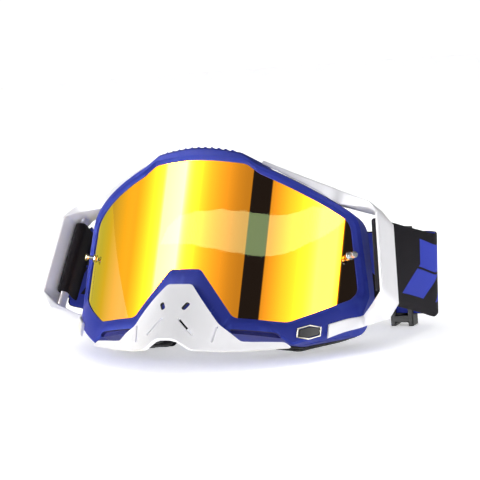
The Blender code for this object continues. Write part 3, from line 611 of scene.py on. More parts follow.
@dataclass
class Outline:
    """Closed outline on the lens: corners joined by straight runs, each corner rounded."""

    corners: list[Corner]
    counts: list[int] = field(default_factory=list)
    arc_steps: int = 8
    run_step: float = 3.0
    most_of_run: float = 0.45

    def __post_init__(self) -> None:
        """Split the runs evenly, unless a parent outline gave its own counts."""
        if not self.counts:
            pairs = zip(self.corners, self.corners[1:] + self.corners[:1])
            self.counts = [
                max(1, round(math.dist(here[:2], after[:2]) / self.run_step)) for here, after in pairs
            ]

    @classmethod
    def from_half(cls, half: Sequence[Corner], counts: list[int] | None = None) -> "Outline":
        """Mirror a left half whose first corner is on the middle line."""
        right = [(-along, height, radius) for along, height, radius in reversed(half[1:])]
        return cls(list(half) + right, counts or [])

    def grown(self, distance: float) -> "Outline":
        """Outline with every run moved outward, split like this one.

        Args:
            distance: how far outward, in millimetres.

        Returns:
            The new outline.
        """
        moved = []
        for i, (along, height, radius) in enumerate(self.corners):
            here = Vector((along, height))
            into = (here - Vector(self.corners[i - 1][:2])).normalized()
            out = (Vector(self.corners[(i + 1) % len(self.corners)][:2]) - here).normalized()
            across_in, across_out = Vector((-into.y, into.x)), Vector((-out.y, out.x))
            place = here + (across_in + across_out) * (distance / (1.0 + across_in.dot(across_out)))
            outward = into.x * out.y - into.y * out.x < 0.0
            moved.append((place.x, place.y, max(radius + (distance if outward else -distance), 0.6)))
        return Outline(moved, self.counts, self.arc_steps, self.run_step)

    def points(self) -> list[Vector]:
        """Points along the outline, with each corner as an arc.

        Returns:
            The points, as along and height.
        """
        places = [Vector(corner[:2]) for corner in self.corners]
        arcs = []
        for i, here in enumerate(places):
            before, after = places[i - 1], places[(i + 1) % len(places)]
            into, out = (here - before).normalized(), (after - here).normalized()
            reach = min(
                self.corners[i][2] * math.tan(into.angle(out, 0.0) / 2.0),
                self.most_of_run * (here - before).length, self.most_of_run * (after - here).length,
            )
            start, end = here - into * reach, here + out * reach
            shares = [step / self.arc_steps for step in range(self.arc_steps + 1)]
            arcs.append([start.lerp(here, t).lerp(here.lerp(end, t), t) for t in shares])
        points = []
        for arc, following, count in zip(arcs, arcs[1:] + arcs[:1], self.counts):
            points += arc
            points += [arc[-1].lerp(following[0], step / count) for step in range(1, count)]
        return points

    def crossing(self, along: float, upper: bool = True) -> float:
        """Height at which the outline crosses a place along the lens.

        Args:
            along: the place along the lens.
            upper: whether it is the top of the outline, or its bottom.

        Returns:
            The height.
        """
        points = self.points()
        heights = []
        for first, second in zip(points, points[1:] + points[:1]):
            low, high = sorted((first.x, second.x))
            if low <= along <= high and high > low:
                share = (along - first.x) / (second.x - first.x)
                heights.append(first.y + share * (second.y - first.y))
        return max(heights) if upper else min(heights)


# Left half of each outline, from the crown down to the nose: along, height, corner radius.
OPENING = Outline.from_half([
    (0.0, 64.3, 180.0), (28.0, 62.6, 9.0), (36.3, 57.3, 12.0), (91.7, 38.7, 10.0), (101.5, 0.5, 6.0),
    (97.0, -5.0, 5.0), (60.2, -25.6, 12.0), (51.0, -26.2, 30.0), (30.2, -26.7, 6.0), (9.1, 0.0, 3.5),
])
BAND = Outline.from_half([
    (0.0, 71.7, 90.0), (25.5, 68.5, 7.0), (34.7, 62.8, 14.0), (96.6, 42.3, 14.0), (109.5, -1.0, 6.0),
    (104.0, -17.8, 6.0), (63.8, -38.0, 3.0), (57.4, -35.0, 2.0), (24.2, -35.6, 3.0), (5.1, -14.0, 3.0),
], OPENING.counts)
FLANGE = Outline.from_half([
    (0.0, 72.9, 100.0), (29.5, 70.0, 14.0), (38.7, 64.3, 30.0), (98.6, 43.1, 16.0), (112.5, -2.0, 10.0),
    (105.0, -20.8, 12.0), (64.3, -33.8, 14.0), (57.4, -34.0, 30.0), (25.2, -34.5, 6.0), (5.1, -13.5, 4.0),
], OPENING.counts)


def loft(
    rings: Sequence[Section], joined: bool = False, capped: bool = False, closed: bool = True
) -> tuple[bmesh.types.BMesh, list[list[bmesh.types.BMVert]]]:
    """Skin a run of rings by extruding the first one through the others.

    Args:
        rings: rings of equal point count.
        joined: whether the last ring runs on into the first.
        capped: whether both ends get a face.
        closed: whether each ring is closed.

    Returns:
        The mesh, and its vertices ring by ring.
    """
    mesh = bmesh.new()
    row = [mesh.verts.new(point) for point in rings[0]]
    pairs = list(zip(row, row[1:] + row[:1]))
    edges = [mesh.edges.new(pair) for pair in (pairs if closed else pairs[:-1])]
    rows = [row]
    if capped:
        bmesh.ops.contextual_create(mesh, geom=edges)
    for ring in list(rings[1:]) + ([rings[0]] if joined else []):
        made = bmesh.ops.extrude_edge_only(mesh, edges=edges)["geom"]
        fresh = {item for item in made if isinstance(item, bmesh.types.BMVert)}
        edges = [
            item for item in made
            if isinstance(item, bmesh.types.BMEdge) and item.verts[0] in fresh and item.verts[1] in fresh
        ]
        row = [
            next(edge.other_vert(vert) for edge in vert.link_edges if edge.other_vert(vert) in fresh)
            for vert in row
        ]
        for vert, point in zip(row, ring):
            vert.co = point
        rows.append(row)
    if capped:
        bmesh.ops.contextual_create(mesh, geom=edges)
    if joined:
        bmesh.ops.remove_doubles(mesh, verts=mesh.verts, dist=1e-5)
    bmesh.ops.recalc_face_normals(mesh, faces=mesh.faces)
    if mesh.calc_volume(signed=True) < 0.0:
        bmesh.ops.reverse_faces(mesh, faces=mesh.faces)
    return mesh, rows


def bent_sheet(
    points: Sequence[Vector], mapping: Mapping, step: float, thickness: float
) -> bmesh.types.BMesh:
    """Solid sheet inside a flat outline, bent by a mapping.

    Args:
        points: the outline, as along and height.
        mapping: from along and height to a place.
        step: spacing of the cuts that let it bend.
        thickness: wall behind the mapped face.

    Returns:
        The closed mesh.
    """
    mesh = bmesh.new()
    mesh.faces.new([mesh.verts.new((point[0], 0.0, point[1])) for point in points])
    for axis in (0, 2):
        places = [vert.co[axis] for vert in mesh.verts]
        low, high = min(places), max(places)
        count = max(1, round((high - low) / step))
        normal = Vector((1.0, 0.0, 0.0)) if axis == 0 else Vector((0.0, 0.0, 1.0))
        for i in range(1, count):
            geometry = list(mesh.verts) + list(mesh.edges) + list(mesh.faces)
            bmesh.ops.bisect_plane(
                mesh, geom=geometry, plane_co=normal * (low + (high - low) * i / count),
                plane_no=normal, dist=1e-5,
            )
    for vert in mesh.verts:
        vert.co = mapping(vert.co.x, vert.co.z)
    bmesh.ops.recalc_face_normals(mesh, faces=mesh.faces)
    if sum(face.normal.y * face.calc_area() for face in mesh.faces) > 0.0:
        bmesh.ops.reverse_faces(mesh, faces=mesh.faces)
    bmesh.ops.solidify(mesh, geom=list(mesh.faces), thickness=thickness)
    bmesh.ops.recalc_face_normals(mesh, faces=mesh.faces)
    return mesh


def box_mesh(low: Vector, high: Vector) -> bmesh.types.BMesh:
    """Axis-aligned box.

    Args:
        low: its lowest corner.
        high: its highest corner.

    Returns:
        The closed mesh.
    """
    mesh = bmesh.new()
    place = Matrix.Translation((low + high) / 2.0) @ Matrix.Diagonal((*(high - low), 1.0))
    bmesh.ops.create_cube(mesh, size=1.0, matrix=place)
    return mesh


def rod_mesh(radius: float, start: Vector, end: Vector, segments: int = 24) -> bmesh.types.BMesh:
    """Closed round rod.

    Args:
        radius: its radius.
        start: the middle of one end.
        end: the middle of the other.
        segments: sides round it.

    Returns:
        The closed mesh.
    """
    mesh = bmesh.new()
    axis = end - start
    place = Matrix.Translation((start + end) / 2.0) @ axis.to_track_quat("Z", "Y").to_matrix().to_4x4()
    bmesh.ops.create_cone(
        mesh, cap_ends=True, segments=segments, radius1=radius, radius2=radius, depth=axis.length,
        matrix=place,
    )
    return mesh


def together(meshes: Sequence[bmesh.types.BMesh]) -> bmesh.types.BMesh:
    """Put several meshes into one, and free them.

    Args:
        meshes: the meshes.

    Returns:
        The one that holds them all.
    """
    whole = bmesh.new()
    for mesh in meshes:
        held = bpy.data.meshes.new("held")
        mesh.to_mesh(held)
        mesh.free()
        whole.from_mesh(held)
        bpy.data.meshes.remove(held)
    return whole


def rounded(corners: Sequence[Vector], radius: float, steps: int = 3) -> Section:
    """Closed section with its corners rounded.

    Args:
        corners: the corners in order.
        radius: largest corner radius.
        steps: pieces in each corner's arc.

    Returns:
        The rounded section.
    """
    points = []
    for i, here in enumerate(corners):
        before, after = corners[i - 1], corners[(i + 1) % len(corners)]
        near = here.lerp(before, min(radius / (before - here).length, 0.49))
        far = here.lerp(after, min(radius / (after - here).length, 0.49))
        points += [
            near.lerp(here, t).lerp(here.lerp(far, t), t) for t in (j / steps for j in range(steps + 1))
        ]
    return points


def eased(stations: Sequence[Section], steps: int, straight: Sequence[int] = ()) -> list[Section]:
    """Fill in the sections between stations along smooth curves.

    Args:
        stations: sections of equal point count.
        steps: pieces between two stations.
        straight: numbers of the spans that stay straight.

    Returns:
        All the sections.
    """
    filled = []
    for i in range(len(stations) - 1):
        before, after = stations[max(i - 1, 0)], stations[min(i + 2, len(stations) - 1)]
        for step in range(steps):
            t = step / steps
            section = []
            for p0, p1, p2, p3 in zip(before, stations[i], stations[i + 1], after):
                if i in straight:
                    section.append(p1.lerp(p2, t))
                    continue
                slope, curve = p2 - p0, 2 * p0 - 5 * p1 + 4 * p2 - p3
                twist = 3 * p1 - p0 - 3 * p2 + p3
                bend = slope * t + curve * t**2 + twist * t**3
                section.append(p1 + bend / 2.0)
            filled.append(section)
    return filled + [list(stations[-1])]


def make_object(mesh: bmesh.types.BMesh, name: str, place: Matrix | None = None) -> bpy.types.Object:
    """Make an object at the origin, with its place in its mesh.

    Args:
        mesh: its mesh, which is freed.
        name: its name.
        place: what takes the mesh to the row frame, if it isn't there yet.

    Returns:
        The object.
    """
    if place is not None:
        bmesh.ops.transform(mesh, matrix=place, verts=mesh.verts)
    data = bpy.data.meshes.new(name)
    mesh.to_mesh(data)
    mesh.free()
    thing = bpy.data.objects.new(name, data)
    bpy.context.scene.collection.objects.link(thing)
    return thing


def carve(
    thing: bpy.types.Object, cutter_mesh: bmesh.types.BMesh, place: Matrix, lining: Finish | None = None
) -> None:
    """Cut a shape out of an object, and leave no modifier behind.

    Args:
        thing: the object to cut.
        cutter_mesh: the shape to take away.
        place: where the shape stands.
        lining: finish of the faces that the cut leaves, where it isn't the object's own; here always a darker
            one, as painted shade in a deep cut.
    """
    bmesh.ops.recalc_face_normals(cutter_mesh, faces=cutter_mesh.faces)
    cutter = make_object(cutter_mesh, thing.name + "_cutter", place)
    if lining:
        cutter.data.materials.append(lining.make())
    modifier = thing.modifiers.new("carve", "BOOLEAN")
    modifier.object = cutter
    modifier.solver = "EXACT"
    modifier.material_mode = "TRANSFER"
    freeze(thing)
    bpy.data.objects.remove(cutter, do_unlink=True)


def add_shells(thing: bpy.types.Object, shells: Sequence[bmesh.types.BMesh]) -> None:
    """Add closed shells to an object's mesh.

    Args:
        thing: the object.
        shells: the shells, drawn in the goggle frame.
    """
    extra = make_object(together(shells), thing.name + "_extra", REST.matrix())
    mesh = bmesh.new()
    mesh.from_mesh(thing.data)
    mesh.from_mesh(extra.data)
    mesh.to_mesh(thing.data)
    mesh.free()
    bpy.data.objects.remove(extra, do_unlink=True)


def freeze(thing: bpy.types.Object) -> None:
    """Apply an object's modifiers to its mesh.

    Args:
        thing: the object.
    """
    graph = bpy.context.evaluated_depsgraph_get()
    data = bpy.data.meshes.new_from_object(thing.evaluated_get(graph))
    thing.modifiers.clear()
    thing.data = data


def soften(thing: bpy.types.Object, width: float, angle: float = 32.0, segments: int = 2) -> None:
    """Round an object's sharp edges, and shade it smooth.

    Args:
        thing: the object.
        width: the rounding, in millimetres.
        angle: edges sharper than this, in degrees, are rounded.
        segments: faces across each rounded edge.
    """
    modifier = thing.modifiers.new("soft_edges", "BEVEL")
    modifier.width = width * MM
    modifier.segments = segments
    modifier.limit_method = "ANGLE"
    modifier.angle_limit = math.radians(angle)
    modifier.harden_normals = False
    thing.data.shade_smooth()
    thing.data.set_sharp_from_angle(angle=math.radians(angle + 8.0))


def fit_out(
    thing: bpy.types.Object, finishes: Finish | Sequence[Finish], body: Body, slot: str, *nodes: str
) -> bpy.types.Object:
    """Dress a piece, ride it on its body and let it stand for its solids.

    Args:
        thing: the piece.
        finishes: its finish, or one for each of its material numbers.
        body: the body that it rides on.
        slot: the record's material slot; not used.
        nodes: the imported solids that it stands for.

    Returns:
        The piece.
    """
    several = [finishes] if isinstance(finishes, Finish) else list(finishes)
    indices = [polygon.material_index for polygon in thing.data.polygons]
    thing.data.materials.clear()
    for finish in several:
        thing.data.materials.append(finish.make())
    if len(several) > 1:
        thing.data.polygons.foreach_set("material_index", indices)
    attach(thing, body.value)
    thing.visible_glossy = not (set(nodes) & MIRROR_BLIND)
    if nodes:
        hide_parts(*nodes)
    LOG.info("%s: %d faces on %s", thing.name, len(thing.data.polygons), body.value)
    return thing


def refined(node: str, name: str, width: float, angle: float = 25.0) -> bpy.types.Object:
    """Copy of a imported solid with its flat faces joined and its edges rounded.

    Args:
        node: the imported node.
        name: the new piece's name.
        width: edge rounding in millimetres.
        angle: edges sharper than this are rounded.

    Returns:
        The new object.
    """
    mesh = bmesh.new()
    mesh.from_mesh(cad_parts[node].data)
    bmesh.ops.remove_doubles(mesh, verts=mesh.verts, dist=1e-6)
    bmesh.ops.dissolve_limit(mesh, angle_limit=math.radians(0.5), verts=mesh.verts, edges=mesh.edges)
    thing = make_object(mesh, name)
    soften(thing, width, angle)
    return thing


# ---------------------------------------------------------------- frame and lens


@dataclass
class GoggleFrame:
    """Moulded frame: front band with its raised bead, lens groove, outer wall and flange."""

    inner_proud: float = 1.2
    ridge_proud: float = 2.9
    outer_proud: float = 3.0
    chamfer: float = 1.2
    wall: float = 1.8
    flange_thickness: float = 2.0
    groove_reach: float = 2.5
    groove_front: float = 0.3
    groove_back: float = -1.5
    back_lip: float = 2.0
    foam_inset: float = 0.4
    vent_depth: float = 7.0
    crown_vents: tuple[tuple[float, float], ...] = (
        (-50.0, -38.0), (-22.0, -8.0), (8.0, 22.0), (38.0, 50.0),
    )
    jaw_vents: tuple[tuple[float, float], ...] = ((70.0, 80.0), (84.0, 94.0))
    pocket: tuple[tuple[float, float], ...] = ((28.5, -33.6), (55.0, -32.6), (58.5, -36.2), (38.0, -41.5))
    pocket_depth: float = 2.4
    pocket_front: float = 6.0
    pocket_round: float = 2.2
    peg_bore: float = 1.1
    edge_round: float = 0.45
    ribs: tuple[float, ...] = (-21.0, -17.0, -13.0, -9.0, -5.0, -1.0, 3.0, 7.0, 11.0, 15.0, 19.0)
    rib_radius: float = 0.9
    rib_slant: float = 2.0
    rib_span: tuple[float, float] = (0.06, 0.26)

    def crown_ribs(self) -> list[bmesh.types.BMesh]:
        """Short raised grip ribs across the crown's wall, ahead of its vents.

        Returns:
            One rod for each rib.
        """
        rods = []
        for along in self.ribs:
            front = REST.on_lens(along, BAND.crossing(along) + 0.1, self.outer_proud - self.chamfer)
            slanted = along + self.rib_slant
            back = REST.on_face(slanted, FLANGE.crossing(slanted) + 0.1)
            start, end = (front.lerp(back, share) for share in self.rib_span)
            rods.append(rod_mesh(self.rib_radius, start, end, 12))
        return rods

    def rings(self) -> list[Section]:
        """The section's corners, each swept round its outline, from the front bead inwards.

        Returns:
            One ring for each corner.
        """
        lens, face = REST.on_lens, REST.on_face
        opening, band, flange = OPENING.points(), BAND.points(), FLANGE.points()
        brow = BAND.grown(-self.chamfer).points()
        ridge = [inner.lerp(outer, 0.42) for inner, outer in zip(opening, brow)]
        bead = [inner.lerp(outer, 0.16) for inner, outer in zip(opening, brow)]
        groove = OPENING.grown(self.groove_reach).points()
        port = OPENING.grown(self.foam_inset).points()
        inner_wall, inner_back = BAND.grown(-self.wall).points(), FLANGE.grown(-self.wall).points()
        inner_front = self.groove_back - self.back_lip
        return [
            [lens(*p, self.inner_proud) for p in opening],
            [lens(*p, self.inner_proud + 0.5) for p in bead],
            [lens(*p, self.ridge_proud) for p in ridge],
            [lens(*p, self.outer_proud) for p in brow],
            [lens(*p, self.outer_proud - self.chamfer) for p in band],
            [face(*p, 0.0) for p in flange],
            [face(*p, self.flange_thickness) for p in flange],
            [face(*p, self.flange_thickness) for p in port],
            [face(*p, 0.0) for p in port],
            [face(*p, 0.0) for p in inner_back],
            [lens(*p, inner_front) for p in inner_wall],
            [lens(*p, inner_front) for p in opening],
            [lens(*p, self.groove_back) for p in opening],
            [lens(*p, self.groove_back) for p in groove],
            [lens(*p, self.groove_front) for p in groove],
            [lens(*p, self.groove_front) for p in opening],
        ]

    def vent(self, start: float, stop: float, upper: bool) -> bmesh.types.BMesh:
        """Bent, rounded bar that cuts one slot through the crown or jaw wall.

        Args:
            start: where the slot starts along the lens.
            stop: where it stops.
            upper: whether it is in the crown.

        Returns:
            The cutter's mesh.
        """
        sections = []
        for share in (0.0, 0.04, 0.5, 0.96, 1.0):
            along = start + (stop - start) * share
            height = BAND.crossing(along, upper)
            front, back = REST.on_lens(along, height, -5.5), REST.on_face(along, height, -2.5)
            half = min(self.vent_depth, (back - front).length) / 2.0
            reach = (back - front).normalized() * half * (0.8 if share in (0.0, 1.0) else 1.0)
            middle, rise = (front + back) / 2.0, Vector((0.0, 0.0, 6.0))
            sections.append([
                middle - reach - rise, middle + reach - rise, middle + reach + rise, middle - reach + rise,
            ])
        return loft(sections, capped=True)[0]

    def build(self) -> bpy.types.Object:
        """Build, cut and dress the frame.

        Returns:
            The frame.
        """
        thing = make_object(loft(self.rings(), joined=True)[0], "frame_body", REST.matrix())
        cutters = [self.vent(*span, True) for span in self.crown_vents]
        for side in Side:
            cutters += [self.vent(*(side.value * end for end in span), False) for span in self.jaw_vents]
        for place in GUARD_FACE.pegs:
            start = GUARD_FACE.at(*place) + Vector((0.0, 0.2, 0.0))
            cutters.append(rod_mesh(self.peg_bore, start, start + Vector((0.0, 9.0, 0.0))))
        thing.data.materials.append(FRAME_BLUE.make())
        carve(thing, together(cutters), REST.matrix())
        for side in Side:
            corners = [Vector((side.value * along, height)) for along, height in self.pocket]
            mesh = bent_sheet(
                rounded(corners, self.pocket_round),
                lambda along, height: REST.on_lens(along, height, self.pocket_front), 4.0,
                self.pocket_front - self.outer_proud + self.pocket_depth,
            )
            # The pocket's walls take the darker navy: painted shade in the recess.
            carve(thing, mesh, REST.matrix(), POCKET_SHADE_NAVY)
        add_shells(thing, self.crown_ribs())
        soften(thing, self.edge_round)
        return fit_out(thing, (FRAME_BLUE, POCKET_SHADE_NAVY), Body.GOGGLES, "frame_polymer", "frame")


@dataclass
class MirrorLens:
    """Cylindrical mirror lens in the frame's groove, with its two tear-off posts."""

    lap: float = 2.2
    thickness: float = 1.2
    step: float = 2.0

    def build(self) -> bpy.types.Object:
        """Build the lens: gold mirror in front, smoke behind.

        Returns:
            The lens.
        """
        mesh = bent_sheet(OPENING.grown(self.lap).points(), REST.on_lens, self.step, self.thickness)
        axis = Vector((0.0, REST.lens_radius, 0.0))
        for face in mesh.faces:
            outward = (face.calc_center_median() - axis) * Vector((1.0, 1.0, 0.0))
            face.material_index = 0 if face.normal.dot(outward.normalized()) > 0.7 else 1
        thing = make_object(mesh, "lens_shield", REST.matrix())
        thing.data.shade_smooth()
        thing.data.set_sharp_from_angle(angle=math.radians(40.0))
        thing.visible_diffuse = False
        return fit_out(thing, (LENS_GOLD, LENS_SMOKE), Body.GOGGLES, "mirror_lens", "lens")

    def fit_posts(self) -> None:
        """Round and dress the posts and the washers behind the lens."""
        for side in ("left", "right"):
            post = refined("lens_post_" + side, "tear_off_post_" + side, 0.18)
            fit_out(post, CHROME, Body.GOGGLES, "bright_metal", "lens_post_" + side)
            washer = refined("post_washer_" + side, "tear_off_washer_" + side, 0.1)
            fit_out(washer, ACETAL_BLACK, Body.GOGGLES, "black_plastic", "post_washer_" + side)


@dataclass
class VentFilters:
    """Open-cell strips behind the crown and jaw vents."""

    voxel: float = 0.8
    cell_depth: float = 0.12
    names: tuple[str, ...] = ("filter_crown", "filter_jaw_left", "filter_jaw_right")

    def build(self) -> None:
        """Remesh each strip finely and roughen its surface."""
        for name in self.names:
            thing = refined(name, name + "_strip", 0.3)
            remesh = thing.modifiers.new("even", "REMESH")
            remesh.mode = "VOXEL"
            remesh.voxel_size = self.voxel * MM
            freeze(thing)
            for vert in thing.data.vertices:
                vert.co += vert.normal * noise.noise(vert.co * per_mm(1.6)) * self.cell_depth * MM
            thing.data.shade_smooth()
            fit_out(thing, FILTER_FOAM, Body.GOGGLES, "filter_foam", name)


@dataclass
class FoamLayer:
    """One ring of the face foam: its depth behind the flange and how it is puffed."""

    node: str
    slot: str
    start: float
    thickness: float
    finish: Finish
    inset: float = 0.5
    spread: float = 0.6
    voxel: float = 1.8
    most: float = 0.45
    pressure: float = 4.0
    frames: int = 20
    fill: float = 0.75

    def profile(self) -> list[tuple[float, float]]:
        """Rounded section of the ring.

        Returns:
            Pairs of the share across, from the outer to the inner edge, and the depth.
        """
        near, far = self.start + self.inset * 0.4, self.start + self.thickness - self.inset * 0.4
        middle, quarter = (near + far) / 2.0, (far - near) * 0.22
        return [
            (0.05, near), (0.012, near + quarter), (0.0, middle), (0.012, far - quarter), (0.05, far),
            (0.35, far + 0.1), (0.65, far + 0.1),
            (0.95, far), (0.988, far - quarter), (1.0, middle), (0.988, near + quarter), (0.95, near),
        ]

    def build(self) -> bpy.types.Object:
        """Loft the ring, puff it by simulation and dress it.

        Returns:
            The layer.
        """
        outer, inner = FLANGE.grown(self.spread).points(), OPENING.grown(0.4 + self.inset).points()
        rings = [
            [REST.on_face(*first.lerp(last, share), depth) for first, last in zip(outer, inner)]
            for share, depth in self.profile()
        ]
        thing = make_object(loft(rings, joined=True)[0], self.node + "_pad", REST.matrix())
        self.puff(thing)
        thing.data.shade_smooth()
        fit_out(thing, self.finish, Body.GOGGLES, self.slot, self.node)
        return thing

    def puff(self, thing: bpy.types.Object) -> None:
        """Swell the ring with cloth pressure, hold each point near its place, and round it.

        Args:
            thing: the foam ring, whose mesh is replaced.
        """
        remesh = thing.modifiers.new("even", "REMESH")
        remesh.mode = "VOXEL"
        remesh.voxel_size = self.voxel * MM
        freeze(thing)
        rest = [vert.co.copy() for vert in thing.data.vertices]
        cloth = thing.modifiers.new("swell", "CLOTH")
        cloth.settings.use_pressure = True
        cloth.settings.uniform_pressure_force = self.pressure
        cloth.settings.effector_weights.gravity = 0.0
        cloth.settings.quality = 4
        cloth.point_cache.frame_start, cloth.point_cache.frame_end = 1, self.frames
        scene = bpy.context.scene
        for number in range(1, self.frames + 1):
            scene.frame_set(number)
        freeze(thing)
        scene.frame_set(1)
        for vert, place in zip(thing.data.vertices, rest):
            move = vert.co - place
            vert.co = place + move * min(1.0, self.most * MM / max(move.length, 1e-9))
        smooth = thing.modifiers.new("round", "SUBSURF")
        smooth.levels = smooth.render_levels = 1
        freeze(thing)


def face_foam() -> list[FoamLayer]:
    """The three bonded layers, from the flange to the face."""
    return [
        FoamLayer("foam_base", "face_foam", 2.35, 6.0, FOAM_BLACK),
        FoamLayer("foam_middle", "face_foam", 8.7, 7.0, FOAM_BLACK),
        FoamLayer("face_fleece", "fleece", 16.05, 3.0, FLEECE_BLACK, 0.4, -0.4, 1.2, 0.3),
    ]


# ---------------------------------------------------------------- nose guard


@dataclass
class NoseGuard:
    """Clip-on nose guard: ridge, two wings, cooling slots and three pegs."""

    edge: tuple[tuple[float, float], ...] = (
        (6.9, -9.9), (24.0, -32.2), (36.0, -40.3), (59.3, -37.2), (63.6, -39.6),
        (36.0, -45.6), (13.7, -48.7), (5.0, -43.7),
    )
    thickness: float = 2.2
    slots: tuple[tuple[float, ...], ...] = (
        (6.6, -23.6, 2.6, 5.0, -30.0), (8.8, -36.0, 1.3, 13.0, 45.0), (22.5, -38.0, 1.3, 10.0, -8.0),
    )
    corner_round: float = 1.6
    peg_radius: float = 1.0
    peg_length: float = 5.5
    peg_root: float = 1.1

    def slot_cutter(self, side: Side, along: float, height: float, width: float, length: float,
                    tilt: float) -> bmesh.types.BMesh:
        """Rounded bar through the guard.

        Args:
            side: the half it lies in.
            along: its place along the lens.
            height: its height.
            width: its width.
            length: its length.
            tilt: its lean in degrees.

        Returns:
            The cutter's mesh.
        """
        mesh = box_mesh(Vector((-width / 2, -12.1, -length / 2)), Vector((width / 2, 12.1, length / 2)))
        upright = [edge for edge in mesh.edges if abs((edge.verts[0].co - edge.verts[1].co).y) > 1.0]
        bmesh.ops.bevel(
            mesh, geom=upright, offset=width * 0.45, offset_type="OFFSET", affect="EDGES", segments=4,
            profile=0.5, material=-1,
        )
        lean = Matrix.Rotation(side.value * math.radians(-tilt), 4, "Y")
        place = Matrix.Translation(GUARD_FACE.at(side.value * along, height))
        bmesh.ops.transform(mesh, matrix=place @ lean, verts=mesh.verts)
        return mesh

    def build(self) -> bpy.types.Object:
        """Build, cut and dress the guard.

        Returns:
            The guard.
        """
        left = [Vector(point) for point in self.edge]
        right = [Vector((-point.x, point.y)) for point in reversed(left)]
        mesh = bent_sheet(rounded(left + right, self.corner_round), GUARD_FACE.at, 1.6, self.thickness)
        thing = make_object(mesh, "nose_guard_shell", REST.matrix())
        thing.data.materials.append(ARM_WHITE.make())
        # The first pair of slots is lined in black acetal: painted shade on walls that are white plastic,
        # dark because the slots are deep.
        deep = [self.slot_cutter(side, *self.slots[0]) for side in Side]
        carve(thing, together(deep), REST.matrix(), ACETAL_BLACK)
        thin = [self.slot_cutter(side, *slot) for side in Side for slot in self.slots[1:]]
        carve(thing, together(thin), REST.matrix())
        rods = []
        for place in GUARD_FACE.pegs:
            inner = GUARD_FACE.at(*place) + Vector((0.0, self.thickness, 0.0))
            end = inner + Vector((0.0, self.peg_length, 0.0))
            rods.append(rod_mesh(self.peg_radius, inner - Vector((0.0, self.peg_root, 0.0)), end))
        add_shells(thing, rods)
        soften(thing, 0.3)
        # Its black acetal is only the painted shade in the first pair of slots.
        return fit_out(thing, (ARM_WHITE, ACETAL_BLACK), Body.GUARD, "white_plastic", "nose_guard")


# ---------------------------------------------------------------- side arms


